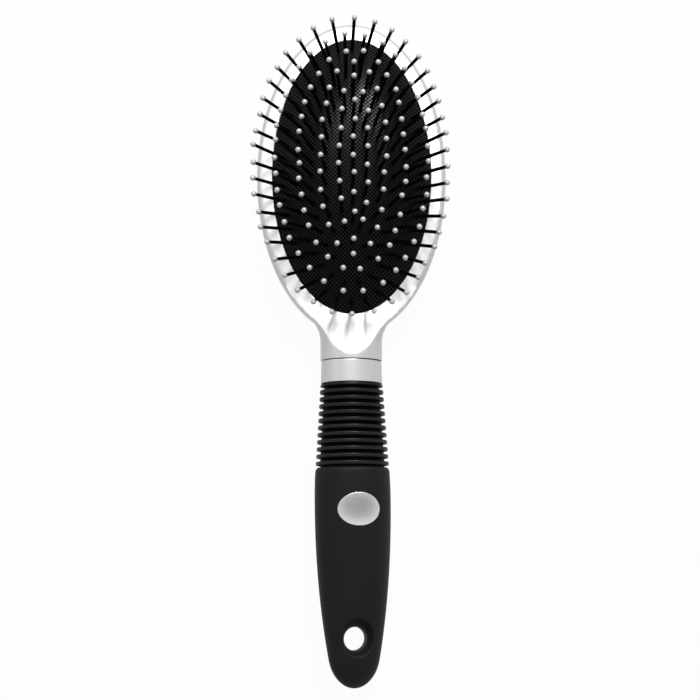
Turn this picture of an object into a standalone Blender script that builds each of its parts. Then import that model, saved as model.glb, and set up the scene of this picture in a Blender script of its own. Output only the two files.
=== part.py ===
"""Cushion brush: an oval head that holds a domed rubber cushion with ball-tipped pins,
and a handle with a collar, a ribbed rubber sleeve and a soft grip with a hanging hole.

Units are metres. The brush lies on its back: +Z points out of the pins, +Y towards the
head's tip and +X to the right. The origin is on the flat of the back, under the cushion's centre.
"""
import math

import bmesh
import bpy
from mathutils import Vector, geometry

# Head: an oval dish with a flat deck
HEAD_WIDTH = 0.0702
HEAD_TIP = 0.059
HEAD_FOOT = 0.060
DECK_HEIGHT = 0.013
WIDEST_HEIGHT = 0.0104
BACK_ROUND = 0.010
SHOULDER_ROUND = 0.0026
POCKET_FLOOR = 0.0032
POCKET_TAPER = 0.0044
POCKET_ROUND = 0.0016

# Lip and groove that hold the cushion's flange
LIP_THICKNESS = 0.0014
FLANGE_WIDTH = 0.0018
FLANGE_THICKNESS = 0.0010
FIT_GAP = 0.0003

# Neck and the ramp between deck and neck
NECK_WIDTH = 0.02245
NECK_THICKNESS = 0.0185
NECK_END = -0.0694
FLARE_START = -0.0627
FLARE_RADIUS = 0.0119
FLARE_SLOPE = 1.016
RAMP_FOOT = -0.0516
RAMP_SLOPE = 0.497
RAMP_BLEND = 0.005
KEEL_END = -0.042
KEEL_RISE = 0.0045
KEEL_POWER = 1.5
EDGE_COVER = 0.0006

# Spigot of the head, which the handle's core slides over
SPIGOT_WIDTH = 0.0140
SPIGOT_THICKNESS = 0.0120
SPIGOT_LENGTH = 0.036
SPIGOT_ROOT = 0.006
SPIGOT_CHAMFER = 0.001

# Cushion
CUSHION_WIDTH = 0.0581
CUSHION_LENGTH = 0.1037
DOME_RISE = 0.0095
DOME_POWER = 3.0
MEMBRANE = 0.0012
MEMBRANE_WALL = 0.0014

# Pins: five oval rows round one straight middle row
PIN_WIDTH = 0.00100
PIN_REACH = 0.0170
TIP_DIAMETER = 0.00215
ROW_COUNTS = (44, 38, 32, 24, 18)
ROW_PHASES = (0.0, 0.5, 0.5, 0.0, 0.0)
MIDDLE_COUNT = 7
MIDDLE_LENGTH = 0.0387
ROW_INSETS_ACROSS = (0.0034, 0.0085, 0.0139, 0.0191, 0.0243)
ROW_INSETS_ALONG = (0.0034, 0.0098, 0.0155, 0.0200, 0.0246)
LEAN_SHARE = 0.87
SWAY_ACROSS = -0.125
SWAY_ALONG = -0.068
SWAY_POWER = 2.5
SWAY_TWIST = 0.042
STRIP_WIDTH = 0.0032
STRIP_THICKNESS = 0.0008
STRIP_GAP = 0.0004

# Handle: all its pieces share one axis, turned a little about itself and swung from the neck
HANDLE_TURN = math.radians(11.0)
HANDLE_SWING = math.radians(0.7)
SWING_PIVOT = -0.0625
GRIP_CLEARANCE = 0.0005
COLLAR_WIDTH = 0.0220
COLLAR_FLARE = 0.0005
COLLAR_THICKNESS = 0.0180
COLLAR_LENGTH = 0.0081
COLLAR_EDGE = 0.0003
CORE_WIDTH = 0.0172
CORE_THICKNESS = 0.0144
CORE_LENGTH = 0.068
CORE_CHAMFER = 0.001

# Ribbed sleeve
RIB_COUNT = 11
RIB_PITCH = 0.00258
RIB_CREST = 0.0012
RIB_FLANK = 0.0003
RIB_DEPTH = 0.0016
FIRST_RIB_WIDTH = 0.0232
LAST_RIB_WIDTH = 0.0265
SLEEVE_FLATNESS = 0.82
LIP_WIDTH = 0.0225
LIP_LENGTH = 0.0009
SLEEVE_TAIL = 0.0004

# Grip
GRIP_WIDTH = 0.02753
GRIP_THICKNESS = 0.0220
GRIP_MOUTH_WIDTH = 0.0268
GRIP_MOUTH_THICKNESS = 0.0214
GRIP_SHOULDER = 0.0016
GRIP_SHOULDER_DEPTH = 0.0011
GRIP_WIDEST_AT = 0.0112
GRIP_TAPER_LENGTH = 0.0554
GRIP_END_WIDTH = 0.0187
GRIP_END_THICKNESS = 0.0124
GRIP_END_ROUND = 0.0109
GRIP_END_POWER = 2.7
GRIP_WIDTH_POWER = 2.18
GRIP_THICKNESS_POWER = 1.6

# Hanging hole, a short land with a countersink on each side
HOLE_DIAMETER = 0.0078
HOLE_LAND = 0.0040
HOLE_MOUTH = 0.0130
HOLE_FLARE_POWER = 1.4
HOLE_FROM_END = 0.0172

# Oval medallion let into the grip's front
MEDALLION_WIDTH = 0.0152
MEDALLION_LENGTH = 0.0118
MEDALLION_FROM_MOUTH = 0.0151
MEDALLION_THICKNESS = 0.0024
MEDALLION_EDGE = 0.0007
MEDALLION_EDGE_DROP = 0.00023
MEDALLION_PROUD = 0.0002

# Numbers of flats on the round shapes
OVAL_SIDES = 48
NECK_SIDES = 28
HANDLE_SIDES = 28
SLEEVE_SIDES = 22
HOLE_SIDES = 20
TIP_SIDES = 6

# How far cutters run past what they trim
CUT_SPARE = 0.0008
CUTTER_REACH = 0.02

# Values that follow from the ones above
HANDLE_AXIS = GRIP_CLEARANCE + math.hypot(GRIP_THICKNESS / 2 * math.cos(HANDLE_TURN),
                                          GRIP_WIDTH / 2 * math.sin(HANDLE_TURN))
COLLAR_START = NECK_END - FIT_GAP
SLEEVE_START = COLLAR_START - COLLAR_LENGTH - FIT_GAP
SLEEVE_LENGTH = LIP_LENGTH + RIB_COUNT * RIB_PITCH + SLEEVE_TAIL
GRIP_START = SLEEVE_START - SLEEVE_LENGTH - FIT_GAP
GRIP_LENGTH = GRIP_WIDEST_AT + GRIP_TAPER_LENGTH + GRIP_END_ROUND


def clear_scene():
    """Start from an empty scene."""
    for item in list(bpy.data.objects):
        bpy.data.objects.remove(item, do_unlink=True)


def make_material(name, colour, roughness, metallic):
    """A plain material for one kind of surface."""
    material = bpy.data.materials.new(name)
    material.use_nodes = True
    shader = material.node_tree.nodes["Principled BSDF"]
    shader.inputs["Base Color"].default_value = (*colour, 1.0)
    shader.inputs["Roughness"].default_value = roughness
    shader.inputs["Metallic"].default_value = metallic
    return material


class Shell:
    """Collects rings of points and the faces between them, and makes one object of them."""

    def __init__(self):
        self.points = []
        self.faces = []
        self.slots = []
        self.slot = 0

    def add_ring(self, points):
        start = len(self.points)
        self.points.extend(Vector(point) for point in points)
        return list(range(start, len(self.points)))

    def add_face(self, corners):
        self.faces.append(tuple(corners))
        self.slots.append(self.slot)

    def bridge(self, lower, upper):
        """Join two closed rings that have the same number of points."""
        count = len(lower)
        for i in range(count):
            j = (i + 1) % count
            self.add_face((lower[i], lower[j], upper[j], upper[i]))

    def zip_rings(self, lower, upper):
        """Join two closed rings with different numbers of evenly turned points."""
        i = 0
        j = 0
        while i < len(lower) or j < len(upper):
            here = lower[i % len(lower)]
            there = upper[j % len(upper)]
            if (i + 1) / len(lower) <= (j + 1) / len(upper):
                i += 1
                self.add_face((here, lower[i % len(lower)], there))
            else:
                j += 1
                self.add_face((here, upper[j % len(upper)], there))

    def cone(self, ring, point):
        """Close a ring with a fan to one point."""
        apex = self.add_ring([point])[0]
        count = len(ring)
        for i in range(count):
            self.add_face((ring[i], ring[(i + 1) % count], apex))

    def loft(self, rings, closed=False):
        """Skin a row of equal rings, and close it on itself or with end faces."""
        indexed = [self.add_ring(ring) for ring in rings]
        for lower, upper in zip(indexed, indexed[1:]):
            self.bridge(lower, upper)
        if closed:
            self.bridge(indexed[-1], indexed[0])
        else:
            self.add_face(indexed[0])
            self.add_face(indexed[-1])

    def make_object(self, name, materials, parent=None, location=(0.0, 0.0, 0.0), sharp=35.0):
        mesh = bpy.data.meshes.new(name)
        mesh.from_pydata(self.points, [], self.faces)
        for material in materials:
            mesh.materials.append(material)
        for polygon, slot in zip(mesh.polygons, self.slots):
            polygon.material_index = slot
        work = bmesh.new()
        work.from_mesh(mesh)
        bmesh.ops.recalc_face_normals(work, faces=work.faces)
        work.to_mesh(mesh)
        work.free()
        mesh.shade_smooth()
        mesh.set_sharp_from_angle(angle=math.radians(sharp))
        item = bpy.data.objects.new(name, mesh)
        bpy.context.collection.objects.link(item)
        item.parent = parent
        item.location = location
        return item


def combine(item, other, operation):
    """Join or cut with another closed shape, which stays as a hidden guide."""
    other.hide_render = True
    other.display_type = "WIRE"
    modifier = item.modifiers.new(other.name, "BOOLEAN")
    modifier.operation = operation
    modifier.solver = "EXACT"
    modifier.object = other


def oval_ring(half_width, tip, foot, height, sides):
    """A level oval whose ends may differ in length, seen from above."""
    ring = []
    for i in range(sides):
        angle = math.tau * i / sides
        along = math.cos(angle)
        ring.append((-half_width * math.sin(angle), along * (tip if along > 0 else foot), height))
    return ring


def section(along, half_width, half_height, sides):
    """An upright oval section round the handle's axis at one station."""
    ring = []
    for i in range(sides):
        angle = math.tau * (i + 0.5) / sides
        ring.append((half_width * math.cos(angle), along, half_height * math.sin(angle)))
    return ring


def head_profile():
    """Inset and height of the dish from the flat of its back up past the deck."""
    profile = []
    back_steps = 6
    for i in range(back_steps + 1):
        angle = math.pi / 2 * (1 - i / back_steps)
        inset = BACK_ROUND * (1 - math.cos(angle))
        profile.append((inset, WIDEST_HEIGHT * (1 - math.sin(angle))))
    for angle in (math.radians(30), math.radians(60)):
        inset = SHOULDER_ROUND * (1 - math.cos(angle))
        profile.append((inset, WIDEST_HEIGHT + SHOULDER_ROUND * math.sin(angle)))
    profile.append((SHOULDER_ROUND, DECK_HEIGHT + CUT_SPARE))
    return profile


def neck_half_width(along):
    """Plan outline of the neck, which flares through an arc into a straight slope."""
    past = along - FLARE_START
    if past <= 0:
        return NECK_WIDTH / 2
    bend = FLARE_RADIUS * math.sin(math.atan(FLARE_SLOPE))
    arc = min(past, bend)
    width = NECK_WIDTH / 2 + FLARE_RADIUS - math.sqrt(FLARE_RADIUS ** 2 - arc ** 2)
    return width + FLARE_SLOPE * max(past - bend, 0.0)


def build_neck():
    """The neck with its flare and its keel, which rises until it ends inside the dish."""
    rings = []
    steps = 12
    top = HANDLE_AXIS + NECK_THICKNESS / 2
    for i in range(steps + 1):
        share = i / steps
        along = NECK_END + (KEEL_END - NECK_END) * share
        half_width = inside_dish(along)
        rise = max(0.0, (along - FLARE_START) / (KEEL_END - FLARE_START))
        low = HANDLE_AXIS - NECK_THICKNESS / 2 + KEEL_RISE * rise ** KEEL_POWER
        ring = []
        for j in range(NECK_SIDES):
            angle = math.tau * (j + 0.5) / NECK_SIDES
            side = math.cos(angle)
            lift = math.sin(angle)
            reach = top - HANDLE_AXIS if lift > 0 else HANDLE_AXIS - low
            ring.append((half_width * side, along, HANDLE_AXIS + reach * lift))
        rings.append(ring)
    shell = Shell()
    shell.loft(rings)
    return shell.make_object("neck_shape", [])


def inside_dish(along):
    """Half width of the neck, kept just inside the dish's outline once it reaches the deck."""
    if along < RAMP_FOOT:
        return neck_half_width(along)
    outline = HEAD_WIDTH / 2 * math.sqrt(1 - (along / HEAD_FOOT) ** 2)
    return min(neck_half_width(along), outline - EDGE_COVER)


def build_ramp_cutter():
    """Everything above the flat deck and above the ramp up to the neck's crest."""
    angle = math.atan(RAMP_SLOPE)
    radius = RAMP_BLEND / math.tan(angle / 2)
    profile = [(HEAD_TIP + CUTTER_REACH, DECK_HEIGHT)]
    steps = 4
    for i in range(steps + 1):
        turn = angle * i / steps
        profile.append((RAMP_FOOT + RAMP_BLEND - radius * math.sin(turn),
                        DECK_HEIGHT + radius * (1 - math.cos(turn))))
    reach = RAMP_FOOT - NECK_END + CUTTER_REACH
    above = DECK_HEIGHT + RAMP_SLOPE * reach + CUTTER_REACH
    profile.append((RAMP_FOOT - reach, DECK_HEIGHT + RAMP_SLOPE * reach))
    profile.append((RAMP_FOOT - reach, above))
    profile.append((HEAD_TIP + CUTTER_REACH, above))
    shell = Shell()
    shell.loft([[(side * HEAD_WIDTH, y, z) for y, z in profile] for side in (-1, 1)])
    return shell.make_object("ramp_cutter", [])


def build_pocket_cutter():
    """The hollow under the cushion, the groove for its flange and the opening in the lip."""
    lip_under = DECK_HEIGHT - LIP_THICKNESS
    groove_under = lip_under - FLANGE_THICKNESS - 2 * FIT_GAP
    profile = [
        (-POCKET_TAPER, POCKET_FLOOR),
        (-POCKET_TAPER + POCKET_ROUND, POCKET_FLOOR + POCKET_ROUND),
        (-MEMBRANE_WALL, groove_under),
        (FLANGE_WIDTH + FIT_GAP, groove_under),
        (FLANGE_WIDTH + FIT_GAP, lip_under),
        (FIT_GAP, lip_under),
        (FIT_GAP, DECK_HEIGHT + CUT_SPARE),
    ]
    rings = []
    for grow, height in profile:
        half_length = CUSHION_LENGTH / 2 + grow
        rings.append(oval_ring(CUSHION_WIDTH / 2 + grow, half_length, half_length, height, OVAL_SIDES))
    shell = Shell()
    shell.loft(rings)
    return shell.make_object("pocket_cutter", [])


def build_spigot(handle):
    """The tongue that runs through the collar into the handle's core."""
    end = NECK_END - SPIGOT_LENGTH
    stations = ((NECK_END + SPIGOT_ROOT, 0.0), (end + SPIGOT_CHAMFER, 0.0), (end, SPIGOT_CHAMFER))
    shell = Shell()
    shell.loft([section(along, SPIGOT_WIDTH / 2 - cut, SPIGOT_THICKNESS / 2 - cut, HANDLE_SIDES)
                for along, cut in stations])
    return shell.make_object("spigot_shape", [], handle)


def build_head(material, handle):
    """Dish, neck and spigot in one moulding, cut by the deck, the ramp and the pocket."""
    rings = []
    for inset, height in head_profile():
        rings.append(oval_ring(HEAD_WIDTH / 2 - inset, HEAD_TIP - inset, HEAD_FOOT - inset,
                               height, OVAL_SIDES))
    shell = Shell()
    shell.loft(rings)
    head = shell.make_object("head_body", [material])
    combine(head, build_neck(), "UNION")
    combine(head, build_ramp_cutter(), "DIFFERENCE")
    combine(head, build_pocket_cutter(), "DIFFERENCE")
    combine(head, build_spigot(handle), "UNION")
    return head


def dome(x, y):
    """Height of the cushion's outer face above the deck."""
    share = math.hypot(x / (CUSHION_WIDTH / 2), y / (CUSHION_LENGTH / 2))
    return DOME_RISE * (1 - share ** DOME_POWER)


def pin_direction(x, y):
    """Pins stand almost square to the dome, and the outer ones sway a little to one side."""
    half_width = CUSHION_WIDTH / 2
    half_length = CUSHION_LENGTH / 2
    share = math.hypot(x / half_width, y / half_length)
    steep = LEAN_SHARE * DOME_POWER * DOME_RISE * share ** (DOME_POWER - 2)
    side = x / half_width
    lean_across = steep * x / half_width ** 2 + SWAY_ACROSS * side ** 2
    lean_along = steep * y / half_length ** 2 + SWAY_ALONG * share ** SWAY_POWER - SWAY_TWIST * side
    return Vector((lean_across, lean_along, 1.0)).normalized()


def row_points(half_width, half_length, count, phase):
    """Points at equal steps along an oval, starting at its tip."""
    fine = 720
    angles = [math.tau * i / fine for i in range(fine + 1)]
    outline = [(-half_width * math.sin(a), half_length * math.cos(a)) for a in angles]
    lengths = [0.0]
    for before, after in zip(outline, outline[1:]):
        lengths.append(lengths[-1] + math.dist(before, after))
    points = []
    k = 0
    for i in range(count):
        goal = (i + phase) / count * lengths[-1]
        while lengths[k + 1] < goal:
            k += 1
        share = (goal - lengths[k]) / (lengths[k + 1] - lengths[k])
        angle = angles[k] + (angles[k + 1] - angles[k]) * share
        points.append((-half_width * math.sin(angle), half_length * math.cos(angle)))
    return points


def pin_rows():
    """Where the pins of each row leave the dome, outer row first, middle row last."""
    rows = []
    for across, along, count, phase in zip(ROW_INSETS_ACROSS, ROW_INSETS_ALONG, ROW_COUNTS, ROW_PHASES):
        rows.append(row_points(CUSHION_WIDTH / 2 - across, CUSHION_LENGTH / 2 - along, count, phase))
    step = MIDDLE_LENGTH / (MIDDLE_COUNT - 1)
    rows.append([(0.0, MIDDLE_LENGTH / 2 - i * step) for i in range(MIDDLE_COUNT)])
    return rows


def cross_frame(direction):
    """Two directions square to a pin."""
    across = Vector((1, 0, 0))
    across = (across - direction * across.dot(direction)).normalized()
    return across, direction.cross(across)


def pin_ring(x, y, radius, distance, sides, turn=0.5):
    """A ring round a pin, at a distance along it from the dome's face."""
    direction = pin_direction(x, y)
    across, along = cross_frame(direction)
    centre = Vector((x, y, dome(x, y))) + direction * distance
    ring = []
    for i in range(sides):
        angle = math.tau * (i + turn) / sides
        ring.append(centre + across * (radius * math.cos(angle)) + along * (radius * math.sin(angle)))
    return ring


def drop_to_surface(point, direction, depth):
    """Slide a point along a pin until it lies a given depth under the dome's face."""
    passes = 12
    caution = 1.2
    for _ in range(passes):
        miss = point.z - (dome(point.x, point.y) - depth)
        point = point - direction * (miss / caution)
    return point


def pin_outline(x, y, radius, depth):
    """The four corners where a square pin or its hole meets a face under the dome."""
    direction = pin_direction(x, y)
    return [drop_to_surface(point, direction, depth) for point in pin_ring(x, y, radius, 0.0, 4)]


def is_inside(x, y, loop):
    """Whether a point lies inside a closed outline, seen from above."""
    inside = False
    for (x1, y1), (x2, y2) in zip(loop, loop[1:] + loop[:1]):
        if (y1 > y) != (y2 > y) and x < x1 + (y - y1) / (y2 - y1) * (x2 - x1):
            inside = not inside
    return inside


def fill_between(shell, outer, holes):
    """Cover the face inside one ring and outside the others with triangles."""
    rings = [outer] + holes
    order = [index for ring in rings for index in ring]
    millimetres = 1000.0
    tolerance = 1e-6
    flat = [Vector((shell.points[index].x * millimetres, shell.points[index].y * millimetres))
            for index in order]
    edges = []
    start = 0
    for ring in rings:
        count = len(ring)
        edges.extend((start + i, start + (i + 1) % count) for i in range(count))
        start += count
    result = geometry.delaunay_2d_cdt(flat, edges, [], 0, tolerance)
    points, faces, sources = result[0], result[2], result[3]
    loops = []
    start = 0
    for ring in rings:
        loops.append([tuple(point) for point in flat[start:start + len(ring)]])
        start += len(ring)
    for face in faces:
        x = sum(points[corner].x for corner in face) / 3
        y = sum(points[corner].y for corner in face) / 3
        if is_inside(x, y, loops[0]) and not any(is_inside(x, y, loop) for loop in loops[1:]):
            shell.add_face([order[sources[corner][0]] for corner in face])


def build_cushion(material, rows):
    """The rubber membrane with its flange and one hole for each pin."""
    shell = Shell()
    half_width = CUSHION_WIDTH / 2
    half_length = CUSHION_LENGTH / 2
    flange_top = -LIP_THICKNESS - FIT_GAP
    flange_under = flange_top - FLANGE_THICKNESS

    def ring_at(grow, height):
        return shell.add_ring(oval_ring(half_width + grow, half_length + grow, half_length + grow,
                                        height, OVAL_SIDES))

    outer_edge = ring_at(0.0, 0.0)
    rings = [outer_edge, ring_at(0.0, flange_top), ring_at(FLANGE_WIDTH, flange_top),
             ring_at(FLANGE_WIDTH, flange_under), ring_at(-MEMBRANE_WALL, flange_under)]
    inner_edge = ring_at(-MEMBRANE_WALL, 0.0)
    for index in inner_edge:
        point = shell.points[index]
        point.z = dome(point.x, point.y) - MEMBRANE
    rings.append(inner_edge)
    for lower, upper in zip(rings, rings[1:]):
        shell.bridge(lower, upper)
    radius = PIN_WIDTH / 2 + FIT_GAP * math.sqrt(2)
    outer_holes = []
    inner_holes = []
    for row in rows:
        for x, y in row:
            outer_holes.append(shell.add_ring(pin_outline(x, y, radius, 0.0)))
            inner_holes.append(shell.add_ring(pin_outline(x, y, radius, MEMBRANE)))
            shell.bridge(outer_holes[-1], inner_holes[-1])
    fill_between(shell, outer_edge, outer_holes)
    fill_between(shell, inner_edge, inner_holes)
    return shell.make_object("cushion", [material], location=(0.0, 0.0, DECK_HEIGHT))


def add_pin(shell, x, y, root):
    """One pin from its root in the strip up to the point of its ball tip."""
    radius = TIP_DIAMETER / 2
    sink = math.sqrt(radius ** 2 - (PIN_WIDTH / 2) ** 2)
    neck = shell.add_ring(pin_ring(x, y, PIN_WIDTH / 2, PIN_REACH - sink, 4))
    shell.bridge(root, neck)
    shell.slot = 1
    latitude = math.radians(30)
    belt = radius * math.cos(latitude)
    rise = radius * math.sin(latitude)
    low = shell.add_ring(pin_ring(x, y, belt, PIN_REACH - rise, TIP_SIDES))
    high = shell.add_ring(pin_ring(x, y, belt, PIN_REACH + rise, TIP_SIDES))
    shell.zip_rings(neck, low)
    shell.bridge(low, high)
    top = Vector((x, y, dome(x, y))) + pin_direction(x, y) * (PIN_REACH + radius)
    shell.cone(high, top)
    shell.slot = 0


def build_pins(name, materials, points, ring_shaped):
    """A strip or plate that lies under the membrane, with its pins."""
    shell = Shell()
    depth = MEMBRANE + STRIP_GAP
    roots = [pin_outline(x, y, PIN_WIDTH / 2, depth) for x, y in points]
    centres = [sum(root, Vector()) / 4 for root in roots]
    half_width = max(abs(centre.x) for centre in centres)
    half_length = max(abs(centre.y) for centre in centres)
    grows = [STRIP_WIDTH / 2, -STRIP_WIDTH / 2] if ring_shaped else [STRIP_WIDTH / 2]
    tops = []
    unders = []
    fewest_sides = 24
    for grow in grows:
        outline = oval_ring(half_width + grow, half_length + grow, half_length + grow, 0.0,
                            max(len(points), fewest_sides))
        upper = [(x, y, dome(x, y) - depth) for x, y, _ in outline]
        tops.append(shell.add_ring(upper))
        unders.append(shell.add_ring([(x, y, z - STRIP_THICKNESS) for x, y, z in upper]))
        shell.bridge(tops[-1], unders[-1])
    root_rings = [shell.add_ring(root) for root in roots]
    fill_between(shell, tops[0], tops[1:] + root_rings)
    fill_between(shell, unders[0], unders[1:])
    for (x, y), root in zip(points, root_rings):
        add_pin(shell, x, y, root)
    return shell.make_object(name, materials, location=(0.0, 0.0, DECK_HEIGHT))


def build_collar(material, handle):
    """A smooth ring round the spigot that widens a little from the neck to the sleeve."""
    stations = ((0.0, COLLAR_EDGE), (COLLAR_EDGE, 0.0),
                (COLLAR_LENGTH - COLLAR_EDGE, 0.0), (COLLAR_LENGTH, COLLAR_EDGE))
    rings = []
    for past, cut in stations:
        change = COLLAR_FLARE / 2 * past / COLLAR_LENGTH - cut
        rings.append(section(COLLAR_START - past, COLLAR_WIDTH / 2 + change,
                             COLLAR_THICKNESS / 2 + change, HANDLE_SIDES))
    for past in (COLLAR_LENGTH, 0.0):
        rings.append(section(COLLAR_START - past, SPIGOT_WIDTH / 2 + FIT_GAP,
                             SPIGOT_THICKNESS / 2 + FIT_GAP, HANDLE_SIDES))
    shell = Shell()
    shell.loft(rings, closed=True)
    return shell.make_object("collar", [material], handle)


def build_core(material, handle):
    """The hard core: a socket over the spigot that runs on as a solid bar into the grip."""
    half_width = CORE_WIDTH / 2
    half_height = CORE_THICKNESS / 2
    socket = SPIGOT_LENGTH + FIT_GAP - (NECK_END - SLEEVE_START)
    stations = ((socket, SPIGOT_WIDTH / 2 + FIT_GAP, SPIGOT_THICKNESS / 2 + FIT_GAP),
                (0.0, SPIGOT_WIDTH / 2 + FIT_GAP, SPIGOT_THICKNESS / 2 + FIT_GAP),
                (0.0, half_width, half_height),
                (CORE_LENGTH - CORE_CHAMFER, half_width, half_height),
                (CORE_LENGTH, half_width - CORE_CHAMFER, half_height - CORE_CHAMFER))
    shell = Shell()
    shell.loft([section(SLEEVE_START - past, wide, high, HANDLE_SIDES)
                for past, wide, high in stations])
    return shell.make_object("handle_core", [material], handle)


def build_sleeve(material, handle):
    """The rubber sleeve: a lip and a row of ribs with sloped flanks that widen towards the grip."""
    profile = [(0.0, LIP_WIDTH / 2), (LIP_LENGTH, LIP_WIDTH / 2)]
    groove = RIB_PITCH - RIB_CREST
    for i in range(RIB_COUNT):
        share = i / (RIB_COUNT - 1)
        crest = (FIRST_RIB_WIDTH + (LAST_RIB_WIDTH - FIRST_RIB_WIDTH) * share) / 2
        start = LIP_LENGTH + i * RIB_PITCH
        profile += [(start + RIB_FLANK, crest - RIB_DEPTH), (start + groove - RIB_FLANK, crest - RIB_DEPTH),
                    (start + groove, crest), (start + RIB_PITCH, crest)]
    end, crest = profile[-1]
    profile += [(end + RIB_FLANK, crest - RIB_DEPTH), (SLEEVE_LENGTH, crest - RIB_DEPTH)]
    rings = [section(SLEEVE_START - past, radius, radius * SLEEVE_FLATNESS, SLEEVE_SIDES)
             for past, radius in profile]
    for past in (SLEEVE_LENGTH, 0.0):
        rings.append(section(SLEEVE_START - past, CORE_WIDTH / 2 + FIT_GAP,
                             CORE_THICKNESS / 2 + FIT_GAP, SLEEVE_SIDES))
    shell = Shell()
    shell.loft(rings, closed=True)
    return shell.make_object("ribbed_sleeve", [material], handle)


def grip_half_sizes(past):
    """Half width and half thickness of the grip at a distance from its mouth."""
    sizes = []
    for widest, mouth, end, power in ((GRIP_WIDTH, GRIP_MOUTH_WIDTH, GRIP_END_WIDTH, GRIP_WIDTH_POWER),
                                      (GRIP_THICKNESS, GRIP_MOUTH_THICKNESS, GRIP_END_THICKNESS,
                                       GRIP_THICKNESS_POWER)):
        if past < GRIP_WIDEST_AT:
            size = widest - (widest - mouth) * (1 - past / GRIP_WIDEST_AT) ** 2
        else:
            share = (past - GRIP_WIDEST_AT) / GRIP_TAPER_LENGTH
            size = widest - (widest - end) * share ** power
        cap = max(past - GRIP_WIDEST_AT - GRIP_TAPER_LENGTH, 0.0) / GRIP_END_ROUND
        shoulder = max(1 - past / GRIP_SHOULDER, 0.0)
        rounding = GRIP_SHOULDER_DEPTH * (1 - math.sqrt(1 - shoulder ** 2))
        sizes.append(size / 2 * math.sqrt(max(1 - cap ** GRIP_END_POWER, 0.0)) - rounding)
    return sizes


def grip_stations():
    """Distances from the mouth at which the grip gets a section."""
    taper_steps = 7
    cap_start = GRIP_WIDEST_AT + GRIP_TAPER_LENGTH
    stations = [GRIP_SHOULDER * share for share in (0.0, 0.15, 0.5, 1.0)]
    stations += [GRIP_WIDEST_AT * share for share in (0.5, 1.0)]
    stations += [GRIP_WIDEST_AT + GRIP_TAPER_LENGTH * i / taper_steps for i in range(1, taper_steps + 1)]
    for turn in (24, 41, 57, 70, 82):
        stations.append(cap_start + GRIP_END_ROUND * math.sin(math.radians(turn)))
    return stations


def build_hole_cutter(handle):
    """A turned cutter for the land and both countersinks of the hanging hole."""
    centre = GRIP_START - GRIP_LENGTH + HOLE_FROM_END
    surface = grip_half_sizes(GRIP_LENGTH - HOLE_FROM_END)[1]
    land = HOLE_LAND / 2
    radius = HOLE_DIAMETER / 2
    spread = (HOLE_MOUTH - HOLE_DIAMETER) / 2
    profile = [(land + (surface - land) * share, radius + spread * share ** HOLE_FLARE_POWER)
               for share in (0.0, 0.35, 0.7, 1.0, 1.4)]
    profile = [(-height, size) for height, size in reversed(profile)] + profile
    rings = []
    for height, size in profile:
        rings.append([(size * math.cos(math.tau * i / HOLE_SIDES),
                       centre + size * math.sin(math.tau * i / HOLE_SIDES), height)
                      for i in range(HOLE_SIDES)])
    shell = Shell()
    shell.loft(rings)
    return shell.make_object("hole_cutter", [], handle)


def medallion_floor():
    """Height of the recess floor above the handle's axis."""
    return grip_half_sizes(MEDALLION_FROM_MOUTH)[1] - MEDALLION_THICKNESS


def medallion_ring(grow, height):
    """A level oval at the medallion's place."""
    ring = oval_ring(MEDALLION_WIDTH / 2 + grow, MEDALLION_LENGTH / 2 + grow,
                     MEDALLION_LENGTH / 2 + grow, height, HANDLE_SIDES)
    return [(x, y + GRIP_START - MEDALLION_FROM_MOUTH, z) for x, y, z in ring]


def build_recess_cutter(handle):
    """The oval seat for the medallion."""
    shell = Shell()
    shell.loft([medallion_ring(FIT_GAP, medallion_floor()),
                medallion_ring(FIT_GAP, medallion_floor() + CUTTER_REACH)])
    return shell.make_object("recess_cutter", [], handle)


def build_medallion(material, handle):
    """A thin plate that follows the grip's round front and stands slightly proud of it."""
    half_width, half_height = grip_half_sizes(MEDALLION_FROM_MOUTH)

    def follow(ring, lift):
        return [(x, y, half_height * math.sqrt(1 - (x / half_width) ** 2) + lift) for x, y, _ in ring]

    base = medallion_floor() + FIT_GAP
    rings = [medallion_ring(0.0, base),
             follow(medallion_ring(0.0, 0.0), MEDALLION_PROUD - MEDALLION_EDGE_DROP)]
    for inset in (MEDALLION_EDGE, MEDALLION_LENGTH / 4):
        rings.append(follow(medallion_ring(-inset, 0.0), MEDALLION_PROUD))
    shell = Shell()
    indexed = [shell.add_ring(ring) for ring in rings]
    for lower, upper in zip(indexed, indexed[1:]):
        shell.bridge(lower, upper)
    shell.add_face(indexed[0])
    centre = (0.0, GRIP_START - MEDALLION_FROM_MOUTH, half_height + MEDALLION_PROUD)
    shell.cone(indexed[-1], centre)
    return shell.make_object("medallion", [material], handle)


def build_grip(material, handle):
    """The soft grip with a cavity for the core, the medallion's seat and the hanging hole."""
    rings = []
    for past in grip_stations():
        half_width, half_height = grip_half_sizes(past)
        rings.append(section(GRIP_START - past, half_width, half_height, HANDLE_SIDES))
    shell = Shell()
    indexed = [shell.add_ring(ring) for ring in rings]
    for lower, upper in zip(indexed, indexed[1:]):
        shell.bridge(lower, upper)
    shell.add_face(indexed[0])
    shell.cone(indexed[-1], (0.0, GRIP_START - GRIP_LENGTH, 0.0))
    grip = shell.make_object("grip", [material], handle)
    cavity = Shell()
    cavity_end = SLEEVE_START - CORE_LENGTH - FIT_GAP
    cavity.loft([section(along, CORE_WIDTH / 2 + FIT_GAP, CORE_THICKNESS / 2 + FIT_GAP, HANDLE_SIDES)
                 for along in (GRIP_START + CUT_SPARE, cavity_end)])
    combine(grip, cavity.make_object("cavity_cutter", [], handle), "DIFFERENCE")
    combine(grip, build_recess_cutter(handle), "DIFFERENCE")
    combine(grip, build_hole_cutter(handle), "DIFFERENCE")
    return grip


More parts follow.
